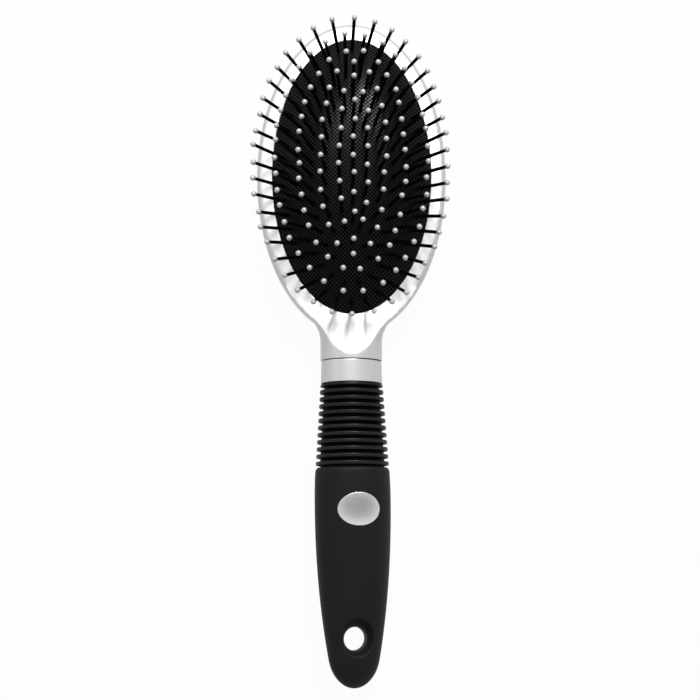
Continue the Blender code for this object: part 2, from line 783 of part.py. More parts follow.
def main():
    clear_scene()
    silver = make_material("satin_silver", (0.62, 0.62, 0.63), 0.38, 0.55)
    rubber = make_material("cushion_rubber", (0.022, 0.022, 0.024), 0.50, 0.0)
    wire = make_material("pin_wire", (0.015, 0.015, 0.016), 0.35, 0.6)
    tip = make_material("pin_tip", (0.55, 0.55, 0.56), 0.35, 0.3)
    sleeve_rubber = make_material("sleeve_rubber", (0.018, 0.018, 0.018), 0.42, 0.0)
    grip_rubber = make_material("grip_rubber", (0.016, 0.016, 0.017), 0.60, 0.0)
    core_plastic = make_material("core_plastic", (0.06, 0.06, 0.065), 0.50, 0.0)
    medal = make_material("medallion_metal", (0.60, 0.59, 0.60), 0.35, 0.8)

    handle = bpy.data.objects.new("handle_axis", None)
    bpy.context.collection.objects.link(handle)
    handle.location = (SWING_PIVOT * math.sin(HANDLE_SWING),
                       SWING_PIVOT * (1 - math.cos(HANDLE_SWING)), HANDLE_AXIS)
    handle.rotation_euler = (0.0, HANDLE_TURN, HANDLE_SWING)

    rows = pin_rows()
    build_head(silver, handle)
    build_cushion(rubber, rows)
    for k, points in enumerate(rows[:-2]):
        build_pins("pin_row_" + str(k + 1), [wire, tip], points, True)
    build_pins("pin_row_middle", [wire, tip], rows[-2] + rows[-1], False)
    build_collar(silver, handle)
    build_core(core_plastic, handle)
    build_sleeve(sleeve_rubber, handle)
    build_grip(grip_rubber, handle)
    build_medallion(medal, handle)


main()
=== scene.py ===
import math
import random

import bmesh
import bpy
from mathutils import Euler, Matrix, Vector


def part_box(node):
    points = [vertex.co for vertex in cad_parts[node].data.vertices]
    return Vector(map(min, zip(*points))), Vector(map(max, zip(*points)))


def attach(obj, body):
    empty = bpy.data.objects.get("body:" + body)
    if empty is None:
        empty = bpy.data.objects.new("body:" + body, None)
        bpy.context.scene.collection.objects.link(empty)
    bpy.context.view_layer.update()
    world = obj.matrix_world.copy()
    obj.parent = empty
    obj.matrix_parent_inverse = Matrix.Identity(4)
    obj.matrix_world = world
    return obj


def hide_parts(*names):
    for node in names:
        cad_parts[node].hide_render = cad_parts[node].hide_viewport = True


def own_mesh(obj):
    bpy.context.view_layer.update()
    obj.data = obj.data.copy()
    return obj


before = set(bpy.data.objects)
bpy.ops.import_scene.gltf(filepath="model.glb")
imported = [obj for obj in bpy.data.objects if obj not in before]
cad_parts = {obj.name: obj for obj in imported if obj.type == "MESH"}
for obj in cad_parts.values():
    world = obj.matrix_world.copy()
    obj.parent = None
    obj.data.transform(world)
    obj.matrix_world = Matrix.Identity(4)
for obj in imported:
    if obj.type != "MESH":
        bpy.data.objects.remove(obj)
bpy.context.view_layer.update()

bl_info = {
    "name": "Cushion Brush",
    "version": (1, 0, 0),
    "blender": (4, 5, 0),
    "location": "View3D > Sidebar > Cushion Brush",
    "description": "Models a cushion brush piece by piece around its construction model",
    "category": "Add Mesh",
}

HEAD_LOW, HEAD_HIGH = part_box("head_body")
CUSHION_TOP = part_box("cushion")[1].z
DECK_HEIGHT = 0.013
MILLIMETRES = 1000.0
# Names under which pieces store marks that their materials read
RECESS_MARK = "recess"
CREST_MARK = "crest"


# Sizes and colours


def length(name, default, description):
    """A size in metres."""
    return bpy.props.FloatProperty(name=name, default=default, description=description,
                                   unit="LENGTH", precision=5)


def lengths(name, defaults, description):
    """Several sizes in metres."""
    return bpy.props.FloatVectorProperty(name=name, default=defaults, size=len(defaults), precision=4,
                                         description=description, unit="LENGTH")


def turn(name, degrees, description):
    """An angle, given in degrees."""
    return bpy.props.FloatProperty(name=name, default=math.radians(degrees), description=description,
                                   subtype="ANGLE", unit="ROTATION")


def number(name, default, description):
    """A plain number."""
    return bpy.props.FloatProperty(name=name, default=default, description=description, precision=4)


def count(name, default, description):
    """A whole number."""
    return bpy.props.IntProperty(name=name, default=default, description=description, min=1)


def colour(name, default, description):
    """A surface colour."""
    return bpy.props.FloatVectorProperty(name=name, default=default, description=description,
                                         subtype="COLOR", size=3, min=0.0, max=1.0)


class HeadSizes(bpy.types.PropertyGroup):
    width: length("Width", HEAD_HIGH.x - HEAD_LOW.x, "Widest part of the oval dish")
    tip: length("Tip", HEAD_HIGH.y, "From the cushion's centre to the head's tip")
    foot: length("Foot", 0.060, "From the cushion's centre to the oval's end in the neck")
    deck: length("Deck height", DECK_HEIGHT, "Height of the flat deck round the cushion")
    widest: length("Widest height", 0.0104, "Height at which the dish is widest")
    back_round: length("Back rounding", 0.010, "How far the back curves in to its flat")
    shoulder: length("Shoulder radius", 0.0026, "Rounding between the side and the deck")
    pocket_floor: length("Pocket floor", 0.0032, "Height of the floor under the cushion")
    pocket_taper: length("Pocket taper", 0.0044, "How far the pocket draws in at its floor")
    pocket_round: length("Pocket rounding", 0.0016, "Chamfer at the edge of the pocket's floor")
    lip: length("Lip thickness", 0.0014, "Rim of the deck that holds the cushion's flange")
    lip_edge: length("Lip edge", 0.0003, "Rounding of the deck at the cushion")
    neck_width: length("Neck width", 0.02245, "Width of the neck")
    neck_thickness: length("Neck thickness", 0.0185, "Thickness of the neck")
    neck_end: length("Neck end", -0.0694, "Where the neck meets the collar")
    neck_spare: length("Neck spare", 0.0025, "Length of neck that is trimmed off again")
    flare_start: length("Flare start", -0.0627, "Where the neck starts to widen")
    flare_radius: length("Flare radius", 0.0119, "Radius with which the neck widens")
    flare_slope: number("Flare slope", 1.016, "Widening for each unit of length after the arc")
    ramp_foot: length("Ramp foot", -0.0516, "Where the deck starts to rise to the neck")
    ramp_slope: number("Ramp slope", 0.497, "Rise of the ramp for each unit of length")
    ramp_blend: length("Ramp blend", 0.005, "Length of the curve between deck and ramp")
    keel_end: length("Keel end", -0.042, "Where the neck's underside ends in the dish")
    keel_rise: length("Keel rise", 0.0045, "How far the neck's underside rises towards the dish")
    keel_power: number("Keel power", 1.5, "How late the neck's underside rises")
    edge_cover: length("Edge cover", 0.0006, "How far the neck stays inside the dish's outline")
    spigot_width: length("Spigot width", 0.0140, "Width of the tongue inside the handle")
    spigot_thickness: length("Spigot thickness", 0.0120, "Thickness of the tongue")
    spigot_length: length("Spigot length", 0.036, "Length of the tongue")
    grain: length("Skin grain", 0.00052, "Mesh size of the smooth moulded skin")
    softening: count("Softening", 8, "Passes that round its moulded edges")


class CushionSizes(bpy.types.PropertyGroup):
    width: length("Width", 0.0581, "Width of the rubber where it leaves the deck")
    length: length("Length", 0.1037, "Length of the rubber where it leaves the deck")
    rise: length("Rise", CUSHION_TOP - DECK_HEIGHT, "Height of the dome above the deck")
    power: number("Dome power", 3.0, "How flat the dome is on top")
    membrane: length("Membrane", 0.0012, "Thickness of the rubber")
    wall: length("Wall", 0.0014, "Thickness of the rubber at its edge")
    flange_width: length("Flange width", 0.0018, "Reach of the flange under the deck's lip")
    flange_thickness: length("Flange thickness", 0.0010, "Thickness of the flange")
    gap: length("Gap", 0.0003, "Clearance to the lip")
    pressed: number("Pressed share", 0.58, "Share of its height that the dome keeps when pressed")


class PinSizes(bpy.types.PropertyGroup):
    wire: length("Wire", 0.0013, "Diameter of a pin's wire")
    reach: length("Reach", 0.0170, "From the rubber to the middle of the ball")
    ball: length("Ball", 0.00204, "Diameter of the ball tip")
    hole: length("Hole", 0.0016, "Diameter of the hole in the rubber")
    foot: length("Foot", 0.0024, "Diameter of the flat foot under the rubber")
    foot_depth: length("Foot depth", 0.0020, "Depth of the foot's underside below the rubber's face")
    insets_across: lengths("Row insets across", (0.0034, 0.0085, 0.0139, 0.0191, 0.0243),
                           "Distance of each row from the rubber's side")
    insets_along: lengths("Row insets along", (0.0034, 0.0098, 0.0155, 0.0200, 0.0246),
                          "Distance of each row from the rubber's ends")
    middle_count: count("Middle pins", 7, "Pins in the straight middle row")
    middle_length: length("Middle length", 0.0387, "Length of the straight middle row")
    lean: number("Lean", 0.87, "How far the pins follow the slope of the rubber")
    sway_across: number("Sway across", -0.125, "Sway of the outer pins across the brush")
    sway_along: number("Sway along", -0.068, "Sway of the outer pins along the brush")
    sway_power: number("Sway power", 2.5, "How quickly the sway fades towards the middle")
    twist: number("Twist", 0.042, "Sway of the side pins along the brush")
    rocking: turn("Rocking", 1.0, "How far single pins stand off their row's lean")


class HandleSizes(bpy.types.PropertyGroup):
    turned: turn("Turn", 11.0, "Turn of the handle about its own axis")
    swing: turn("Swing", 0.7, "Swing of the handle from the head's axis")
    pivot: length("Pivot", -0.0625, "Place on the axis that the swing leaves alone")
    gap: length("Gap", 0.0003, "Clearance between neighbours")
    clearance: length("Clearance", 0.0005, "Height of the grip above the floor")
    collar_width: length("Collar width", 0.0220, "Width of the silver collar")
    collar_thickness: length("Collar thickness", 0.0180, "Thickness of the collar")
    collar_length: length("Collar length", 0.0081, "Length of the collar")
    collar_flare: length("Collar flare", 0.0005, "How much wider the collar is at the ribs")
    collar_edge: length("Collar edge", 0.00025, "Rounding of the collar's edges")
    core_width: length("Core width", 0.0172, "Width of the hard core")
    core_thickness: length("Core thickness", 0.0144, "Thickness of the hard core")
    core_length: length("Core length", 0.068, "Length of the hard core")


class SleeveSizes(bpy.types.PropertyGroup):
    ribs: count("Ribs", 11, "Number of ribs")
    pitch: length("Pitch", 0.00258, "Distance between ribs")
    crest: length("Crest", 0.0012, "Length of a rib's crest")
    flank: length("Flank", 0.0003, "How far a rib's flank slopes")
    depth: length("Depth", 0.0016, "Depth of a groove")
    corner: length("Corner", 0.0003, "Rounding of a rib's corners")
    first: length("First rib", 0.0232, "Width of the first rib")
    last: length("Last rib", 0.0265, "Width of the last rib")
    flatness: number("Flatness", 0.82, "Thickness of the sleeve as a share of its width")
    lip_width: length("Lip width", 0.0225, "Width of the plain lip at the collar")
    lip_flare: length("Lip flare", 0.0004, "How much wider the lip's far edge is")
    lip_length: length("Lip length", 0.0009, "Length of the plain lip")
    tail: length("Tail", 0.0004, "Plain end at the grip")


class GripSizes(bpy.types.PropertyGroup):
    width: length("Width", 0.02753, "Widest part of the grip")
    thickness: length("Thickness", 0.0220, "Thickest part of the grip")
    mouth_width: length("Mouth width", 0.0268, "Width at the sleeve")
    mouth_thickness: length("Mouth thickness", 0.0214, "Thickness at the sleeve")
    shoulder: length("Shoulder", 0.0016, "Length of the rounding at the mouth")
    shoulder_depth: length("Shoulder depth", 0.0011, "Depth of the rounding at the mouth")
    widest_at: length("Widest at", 0.0112, "From the mouth to the widest place")
    taper: length("Taper", 0.0554, "Length of the taper")
    end_width: length("End width", 0.0187, "Width where the end starts to round")
    end_thickness: length("End thickness", 0.0124, "Thickness where the end starts to round")
    end_round: length("End rounding", 0.0109, "Length of the rounded end")
    end_power: number("End power", 2.7, "How full the rounded end is")
    width_power: number("Width power", 2.18, "How late the width tapers")
    thickness_power: number("Thickness power", 1.6, "How late the thickness tapers")
    hole: length("Hole", 0.0078, "Diameter of the hanging hole")
    land: length("Land", 0.0040, "Length of the hole's straight part")
    mouth: length("Hole mouth", 0.0130, "Diameter of the hole at the grip's face")
    flare_power: number("Hole flare", 1.4, "How late the hole flares")
    hole_from_end: length("Hole from end", 0.0172, "From the hole's middle to the grip's end")
    hole_spare: length("Hole spare", 0.00022, "Radius that the hole loses when its rim is softened")
    grain: length("Skin grain", 0.00042, "Mesh size of the soft skin")
    softening: count("Softening", 5, "Passes that soften its edges")


class MedallionSizes(bpy.types.PropertyGroup):
    width: length("Width", 0.0152, "Across the brush")
    length: length("Length", 0.0118, "Along the brush")
    from_mouth: length("From mouth", 0.0151, "From the grip's mouth to the medallion's middle")
    thickness: length("Thickness", 0.0024, "Depth of its seat")
    proud: length("Proud", 0.00035, "How far it stands out of the grip")
    grain: length("Skin grain", 0.00016, "Mesh size of its blasted face")
    softening: count("Softening", 7, "Passes that round its rim")


class Colours(bpy.types.PropertyGroup):
    silver: colour("Silver", (0.57, 0.567, 0.57), "Lacquer of the head and the collar")
    # The deck's and the ramp's colour is the same lacquer painted paler: a painted highlight.
    recess: colour("Recess", (0.94, 0.938, 0.94), "Paler lacquer of the deck and the ramp")
    rubber: colour("Cushion", (0.001, 0.001, 0.001), "Rubber of the cushion")
    wire: colour("Wire", (0.003, 0.003, 0.003), "Coating of the pins")
    ball: colour("Ball", (0.46, 0.46, 0.465), "Ball tips")
    ribs: colour("Ribs", (0.002, 0.002, 0.002), "Rubber of the ribs")
    grip: colour("Grip", (0.006, 0.006, 0.006), "Soft skin of the grip")
    medallion: colour("Medallion", (0.50, 0.49, 0.50), "Satin metal of the medallion")
    core: colour("Core", (0.05, 0.05, 0.054), "Plain plastic of the core")
    floor: colour("Floor", (0.50, 0.50, 0.50), "Pale floor")


class StageSettings(bpy.types.PropertyGroup):
    camera_place: bpy.props.FloatVectorProperty(
        name="Camera place", default=(-0.01445, -0.1416, 0.513), size=3, precision=4,
        description="Where the camera stands", subtype="XYZ", unit="LENGTH")
    camera_turn: bpy.props.FloatVectorProperty(
        name="Camera turn", default=(0.1508, -0.0284, 0.0029), size=3, precision=4,
        description="How the camera is turned", subtype="EULER", unit="ROTATION")
    lens: number("Lens", 71.67, "Focal length in millimetres on a 36 mm wide image")
    key: number("Key", 1.2, "Power of the large softbox over the head in watts")
    far: number("Far", 1.2, "Power of the softbox low beyond the head's tip in watts")
    accent: number("Accent", 3.6, "Power of the small light between the softboxes in watts")
    side: number("Side", 0.3, "Power of the weak softbox at the left in watts")
    sky: number("Sky", 0.22, "Strength of the soft light from all round")
    floor_glow: number("Floor glow", 0.97, "Share of plain white in the floor as the camera sees it")


class BrushSettings(bpy.types.PropertyGroup):
    head: bpy.props.PointerProperty(type=HeadSizes, name="Head")
    cushion: bpy.props.PointerProperty(type=CushionSizes, name="Cushion")
    pins: bpy.props.PointerProperty(type=PinSizes, name="Pins")
    handle: bpy.props.PointerProperty(type=HandleSizes, name="Handle")
    sleeve: bpy.props.PointerProperty(type=SleeveSizes, name="Sleeve")
    grip: bpy.props.PointerProperty(type=GripSizes, name="Grip")
    medallion: bpy.props.PointerProperty(type=MedallionSizes, name="Medallion")
    colours: bpy.props.PointerProperty(type=Colours, name="Colours")
    stage: bpy.props.PointerProperty(type=StageSettings, name="Stage")


# Modelling helpers


def start_fresh():
    """Leave edit mode and select nothing."""
    if bpy.context.mode != "OBJECT":
        bpy.ops.object.mode_set(mode="OBJECT")
    bpy.ops.object.select_all(action="DESELECT")


def select_only(item):
    """Make one object the only selected and active one."""
    start_fresh()
    item.select_set(True)
    bpy.context.view_layer.objects.active = item


def edit(item):
    """Enter edit mode with one object."""
    select_only(item)
    bpy.ops.object.mode_set(mode="EDIT")


def settle(item):
    """Move an object's place, turn and scale into its mesh."""
    select_only(item)
    bpy.ops.object.transform_apply(location=True, rotation=True, scale=True)


def face_outwards(item):
    """Turn all faces outwards and make sure that the shape is closed."""
    edit(item)
    bpy.ops.mesh.select_all(action="SELECT")
    bpy.ops.mesh.normals_make_consistent(inside=False)
    bpy.ops.object.mode_set(mode="OBJECT")
    work = bmesh.new()
    work.from_mesh(item.data)
    open_edges = sum(1 for edge in work.edges if len(edge.link_faces) != 2)
    work.free()
    if open_edges:
        raise RuntimeError(item.name + " isn't closed: " + str(open_edges) + " open edges")


def finish_shape(name):
    """Leave edit mode with a named, closed shape whose place is in its mesh."""
    bpy.ops.object.mode_set(mode="OBJECT")
    item = bpy.context.active_object
    item.name = name
    item.data.name = name
    settle(item)
    face_outwards(item)
    return item


def middle_of(part):
    """Middle of the corners of an edge or a face."""
    return sum((corner.co for corner in part.verts), Vector()) / len(part.verts)


def choose(test, kind="VERT"):
    """Select the vertices or the edges of the shape in edit mode whose middle passes a test."""
    bpy.ops.mesh.select_mode(type=kind)
    bpy.ops.mesh.select_all(action="DESELECT")
    item = bpy.context.edit_object
    work = bmesh.from_edit_mesh(item.data)
    for part in work.verts if kind == "VERT" else work.edges:
        middle = part.co if kind == "VERT" else middle_of(part)
        if test(item.matrix_world @ middle):
            part.select = True
    work.select_flush_mode()
    bmesh.update_edit_mesh(item.data)


def skin_ovals(name, ovals, sides, upright, ring=False, points=()):
    """Extrude one oval through a row of places and half sizes.

    Each oval has its middle, its half width along X and its half depth along Z if the ovals are
    upright, or along Y if they lie flat. A ring is open through its middle: its last oval is
    bridged to its first. points says which ends, 0 and -1, close in a point.
    """
    start_fresh()

    def stretch(wide, deep, middle):
        value = (wide, 1.0, deep) if upright else (wide, deep, 1.0)
        bpy.ops.transform.resize(value=value, center_override=middle)

    middle, wide, deep = ovals[0]
    bpy.ops.mesh.primitive_circle_add(
        vertices=sides, radius=1.0, fill_type="NGON", enter_editmode=True, location=middle,
        rotation=(math.pi / 2 if upright else 0.0, 0.0, 0.0))
    stretch(wide, deep, middle)
    for next_middle, next_wide, next_deep in ovals[1:]:
        step = Vector(next_middle) - Vector(middle)
        bpy.ops.mesh.extrude_region_move(TRANSFORM_OT_translate={"value": step})
        stretch(next_wide / wide, next_deep / deep, next_middle)
        middle, wide, deep = next_middle, next_wide, next_deep
    if ring or points:
        close_ends(ring, points)
    return finish_shape(name)


def skin_along(name, rows, sides, **ends):
    """Upright ovals round the Y axis, each from its place on it, half width and half height."""
    ovals = [((0.0, along, 0.0), wide, high) for along, wide, high in rows]
    return skin_ovals(name, ovals, sides, upright=True, **ends)


def skin_up(name, rows, sides, along=0.0, **ends):
    """Flat ovals over one place on the Y axis, each from its height, half width and half length."""
    ovals = [((0.0, along, height), wide, deep) for height, wide, deep in rows]
    return skin_ovals(name, ovals, sides, upright=False, **ends)


def close_ends(ring, points):
    """Join the two end faces of an extruded row through its middle, or draw them to points."""
    item = bpy.context.edit_object
    work = bmesh.from_edit_mesh(item.data)
    work.faces.ensure_lookup_table()
    # All faces between the ends are quads
    ends = sorted((face for face in work.faces if len(face.verts) > 4), key=lambda face: face.index)
    chosen = [ends[0], ends[-1]]
    if ring:
        loops = [edge for face in chosen for edge in face.edges]
        for face in work.faces:
            face.select = False
        bmesh.ops.delete(work, geom=chosen, context="FACES_ONLY")
        bpy.ops.mesh.select_mode(type="EDGE")
        for edge in work.edges:
            edge.select = False
        for edge in loops:
            edge.select = True
        bmesh.update_edit_mesh(item.data)
        bpy.ops.mesh.bridge_edge_loops()
        return
    for which in points:
        end = chosen[which]
        bmesh.ops.pointmerge(work, verts=list(end.verts), merge_co=middle_of(end))
    bmesh.update_edit_mesh(item.data)


def use_modifier(item, kind, **settings):
    """Add a modifier, set it and apply it."""
    select_only(item)
    bpy.ops.object.modifier_add(type=kind)
    modifier = item.modifiers[-1]
    for name, value in settings.items():
        setattr(modifier, name, value)
    bpy.ops.object.modifier_apply(modifier=modifier.name)


def combine(item, other, operation):
    """Join, cut or intersect a shape with another, which is used up."""
    use_modifier(item, "BOOLEAN", operation=operation, solver="EXACT", object=other)
    bpy.data.objects.remove(other, do_unlink=True)


def smooth_skin(item, grain, passes):
    """Give a shape an even, softly rounded skin."""
    use_modifier(item, "REMESH", mode="VOXEL", voxel_size=grain)
    use_modifier(item, "SMOOTH", factor=0.5, iterations=passes)


def shade(item, degrees=40.0):
    """Smooth shading that keeps real edges sharp."""
    select_only(item)
    bpy.ops.object.shade_smooth_by_angle(angle=math.radians(degrees))


def join_all(items, name):
    """Join several objects into one named object whose place is in its mesh."""
    start_fresh()
    for item in items:
        item.select_set(True)
    bpy.context.view_layer.objects.active = items[0]
    bpy.ops.object.join()
    joined = bpy.context.active_object
    joined.name = name
    joined.data.name = name
    settle(joined)
    return joined


def store_marks(item, name, marks):
    """Store a share of 0 to 1 at each vertex under a name that a material can read."""
    mark = item.data.attributes.new(name, "FLOAT", "POINT")
    mark.data.foreach_set("value", marks)


def hand_over(item, body, material, slot, *nodes):
    """Give a finished piece its material and its body, and hide the construction node it stands for."""
    item.data.materials.clear()
    item.data.materials.append(material)
    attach(item, body)
    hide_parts(*nodes)


def handle_place(brush):
    """The handle's axis: its height keeps the turned grip just clear of the floor."""
    sizes = brush.handle
    height = sizes.clearance + math.hypot(brush.grip.thickness / 2 * math.cos(sizes.turned),
                                          brush.grip.width / 2 * math.sin(sizes.turned))
    place = Matrix.Translation((sizes.pivot * math.sin(sizes.swing),
                                sizes.pivot * (1 - math.cos(sizes.swing)), height))
    return place @ Euler((0.0, sizes.turned, sizes.swing)).to_matrix().to_4x4()


def put_on_handle(item, brush):
    """Move a piece modelled round the Y axis to the handle's real place."""
    item.matrix_world = handle_place(brush)
    settle(item)


def sleeve_start(brush):
    """Where the sleeve meets the collar on the handle's axis."""
    return brush.head.neck_end - 2 * brush.handle.gap - brush.handle.collar_length


def sleeve_length(sizes):
    """Length of the lip, the ribs and the plain end."""
    return sizes.lip_length + sizes.ribs * sizes.pitch + sizes.tail


def grip_start(brush):
    """Where the grip's mouth meets the sleeve on the handle's axis."""
    return sleeve_start(brush) - sleeve_length(brush.sleeve) - brush.handle.gap


# Materials


class Signal:
    """A socket of a node that can be used in plain arithmetic."""

    def __init__(self, nodes, socket):
        self.nodes = nodes
        self.socket = socket

    def math(self, operation, *others):
        """The result of one Math node for this socket and the values after it."""
        inputs = dict(enumerate((self, *others)))
        return self.nodes.node("ShaderNodeMath", {"operation": operation}, inputs)

    def __add__(self, other):
        return self.math("ADD", other)

    __radd__ = __add__

    def __mul__(self, other):
        return self.math("MULTIPLY", other)

    __rmul__ = __mul__

    def __sub__(self, other):
        return self.math("SUBTRACT", other)

    def __rsub__(self, other):
        return (self * -1.0) + other

    def __truediv__(self, other):
        return self.math("DIVIDE", other)

    def __pow__(self, other):
        return self.math("POWER", other)

    def sine(self):
        """The sine of an angle in radians."""
        return self.math("SINE")

    def between(self, low, high):
        """0 below one value, 1 above the other and a smooth step between them."""
        return self.nodes.node("ShaderNodeMapRange", {"interpolation_type": "SMOOTHSTEP"},
                               {"Value": self, "From Min": low, "From Max": high})


class Nodes:
    """The nodes of a material or a world."""

    def __init__(self, tree):
        self.tree = tree

    def fill(self, socket, value):
        """Link a signal to a socket, or set the socket to a plain value or colour."""
        if isinstance(value, Signal):
            self.tree.links.new(value.socket, socket)
        elif socket.type == "RGBA":
            socket.default_value = (*value, 1.0)
        else:
            socket.default_value = value

    def node(self, kind, settings=None, inputs=None, output=0):
        """Add a node, set it up, link or fill its sockets and give back one output."""
        made = self.tree.nodes.new(kind)
        for name, value in (settings or {}).items():
            setattr(made, name, value)
        for key, value in (inputs or {}).items():
            self.fill(made.inputs[key], value)
        return Signal(self, made.outputs[output])

    def seen_as_background(self):
        """1 for rays that look straight, in a reflection or through glass, and 0 for the rest."""
        path = self.node("ShaderNodeLightPath").socket.node
        straight, reflected, through = (
            Signal(self, path.outputs[name])
            for name in ("Is Camera Ray", "Is Glossy Ray", "Is Transmission Ray"))
        return straight.math("MAXIMUM", reflected).math("MAXIMUM", through)


class Finish(Nodes):
    """A material with one principled shader, and the nodes that feed it."""

    def __init__(self, name):
        self.material = bpy.data.materials.new(name)
        self.material.use_nodes = True
        super().__init__(self.material.node_tree)
        self.shader = self.tree.nodes["Principled BSDF"]

    def place(self):
        """Object coordinates in millimetres."""
        where = self.node("ShaderNodeTexCoord", output=3)
        return self.node("ShaderNodeVectorMath", {"operation": "SCALE"},
                         {0: where, "Scale": MILLIMETRES})

    def mark(self, name):
        """The share of 0 to 1 that a piece stores at its vertices, or 0 where it stores none."""
        return self.node("ShaderNodeAttribute", {"attribute_name": name}, output=2)

    def axes(self, where):
        """The X, Y and Z parts of a place."""
        parts = self.node("ShaderNodeSeparateXYZ", {}, {0: where}).socket.node
        return [Signal(self, parts.outputs[index]) for index in range(3)]

    def noise(self, where, cells, detail=2.0, roughness=0.5):
        """Cloudy noise from 0 to 1 with a number of cells in each millimetre."""
        return self.node("ShaderNodeTexNoise", {}, {"Vector": where, "Scale": cells,
                                                    "Detail": detail, "Roughness": roughness})

    def mix(self, share, first, second):
        """A colour between two colours."""
        return self.node("ShaderNodeMix", {"data_type": "RGBA"},
                         {"Factor": share, 6: first, 7: second}, output=2)

    def bump(self, height, depth):
        """A normal from a height of 0 to 1 that stands for a depth in metres."""
        return self.node("ShaderNodeBump", {}, {"Height": height, "Distance": depth})

    def use(self, **sockets):
        """Link or fill the principled shader's sockets, named with _ for each space."""
        for name, value in sockets.items():
            self.fill(self.shader.inputs[name.replace("_", " ")], value)
        return self.material


def scaled(shade_of, factor):
    """A colour made lighter or darker."""
    return tuple(min(part * factor, 1.0) for part in shade_of)


def silver_lacquer(name, base, recess):
    """Satin silver lacquer with fine flake, less metallic where a face is marked and painted paler there
    as a painted highlight.
    """
    finish = Finish(name)
    where = finish.place()
    flake = finish.noise(where, cells=5.5, roughness=0.6)
    cloud = finish.noise(where, cells=0.11)
    marked = finish.mark(RECESS_MARK)
    ramp_along, deck_along = -52.0, -36.0
    level = finish.axes(where)[1].between(ramp_along, deck_along) * marked
    outside = finish.mix(flake, scaled(base, 0.90), scaled(base, 1.08))
    # inside is the lacquer painted paler on the deck and the ramp: a painted highlight.
    inside = finish.mix(flake, scaled(recess, 0.97), scaled(recess, 1.02))
    return finish.use(
        Base_Color=finish.mix(marked, outside, inside), Specular_IOR_Level=0.4,
        Metallic=0.65 - marked * 0.15 - level * 0.20,
        Roughness=0.27 + cloud * 0.05 + flake * 0.03 + marked * 0.09 - level * 0.02,
        Normal=finish.bump(flake, depth=0.000003))


def woven_rubber(name, base):
    """Black rubber pressed with a fine diagonal weave, whose raised threads catch the light."""
    finish = Finish(name)
    where = finish.place()
    x, y = finish.axes(where)[:2]
    thread_pitch = 1.05
    turns = math.tau / thread_pitch / math.sqrt(2)
    warp = ((x + y) * turns).sine()
    weft = ((x - y) * turns).sine()
    over = (warp + weft) * 0.25 + 0.5
    fine = finish.noise(where, cells=6.0)
    patch = finish.noise(where, cells=0.10, detail=3.0)
    thread = over * 0.85 + fine * 0.15
    raised = thread.between(0.42, 0.74)
    return finish.use(
        # The base colour is lighter on the raised threads and darker in the gaps between them, painted
        # shade in the gaps; the patches are random tone.
        Base_Color=finish.mix(thread * 0.7 + patch * 0.3, scaled(base, 0.3), scaled(base, 2.0)),
        Roughness=0.44 - thread * 0.16 + patch * 0.04, Specular_IOR_Level=0.02,
        Coat_Weight=raised * 0.30, Coat_Roughness=0.25,
        Normal=finish.bump(thread, depth=0.00006))


def coated_wire(name, base):
    """Black coating on steel wire, slightly uneven."""
    finish = Finish(name)
    grain = finish.noise(finish.place(), cells=3.0)
    return finish.use(
        Base_Color=finish.mix(grain, scaled(base, 0.7), scaled(base, 1.3)),
        Roughness=0.55 + grain * 0.12, Specular_IOR_Level=0.02,
        Normal=finish.bump(grain, depth=0.000008))


def pearl_ball(name, base):
    """Pale silver-grey plastic with a slight pearl speckle."""
    finish = Finish(name)
    where = finish.place()
    speck = finish.noise(where, cells=4.0)
    cloud = finish.noise(where, cells=0.35, detail=1.0)
    return finish.use(
        Base_Color=finish.mix(speck * 0.5 + cloud * 0.5, scaled(base, 0.88), scaled(base, 1.12)),
        Roughness=0.36 + speck * 0.1, Metallic=0.35, Normal=finish.bump(speck, depth=0.000008))


def moulded_plastic(name, base, roughness, pebbles, depth, specular, shine=0.0):
    """Moulded rubber or plastic with a pebbled skin, handling marks and, where a shine is given, a coat
    on its crests that leaves the grooves duller as painted shade.
    """
    finish = Finish(name)
    where = finish.place()
    skin = finish.noise(where, cells=pebbles, detail=3.0, roughness=0.6)
    worn = finish.noise(where, cells=0.16, detail=3.0)
    if shine:
        # The coat only on the crests keeps reflections out of the grooves: painted shade in the grooves.
        finish.use(Coat_Weight=finish.mark(CREST_MARK) ** 2.0 * shine, Coat_Roughness=0.34)
    return finish.use(
        Base_Color=finish.mix(worn * 0.6 + skin * 0.4, scaled(base, 0.75), scaled(base, 1.3)),
        Roughness=roughness + worn * 0.10 + skin * 0.05, Specular_IOR_Level=specular,
        Normal=finish.bump(skin, depth))


def satin_metal(name, base, middle, reach):
    """Blasted satin metal with a fine speckle, painted darker round one place of its face as painted
    shade and lighter towards its rim as a painted highlight.
    """
    finish = Finish(name)
    where = finish.place()
    x, y = finish.axes(where)[:2]
    speck = finish.noise(where, cells=4.5, detail=3.0, roughness=0.7)
    cloud = finish.noise(where, cells=0.22)
    across = (x - middle[0] * MILLIMETRES) / (reach[0] * MILLIMETRES)
    along = (y - middle[1] * MILLIMETRES) / (reach[1] * MILLIMETRES)
    # rim is 0 at the middle of the painted shade and 1 towards the rim, where the highlight is painted.
    rim = (across * across + along * along + speck * 0.12).between(0.0, 1.3)
    painted_shade_and_rim_highlight = finish.mix(rim, scaled(base, 0.60), scaled(base, 1.24))
    grain = finish.mix(speck * 0.5 + cloud * 0.5, (0.86, 0.86, 0.86), (1.12, 1.12, 1.12))
    return finish.use(
        Base_Color=finish.node("ShaderNodeVectorMath", {"operation": "MULTIPLY"}, {0: painted_shade_and_rim_highlight, 1: grain}),
        Roughness=0.32 + speck * 0.14, Metallic=0.9, Normal=finish.bump(speck, depth=0.000010))


# Head


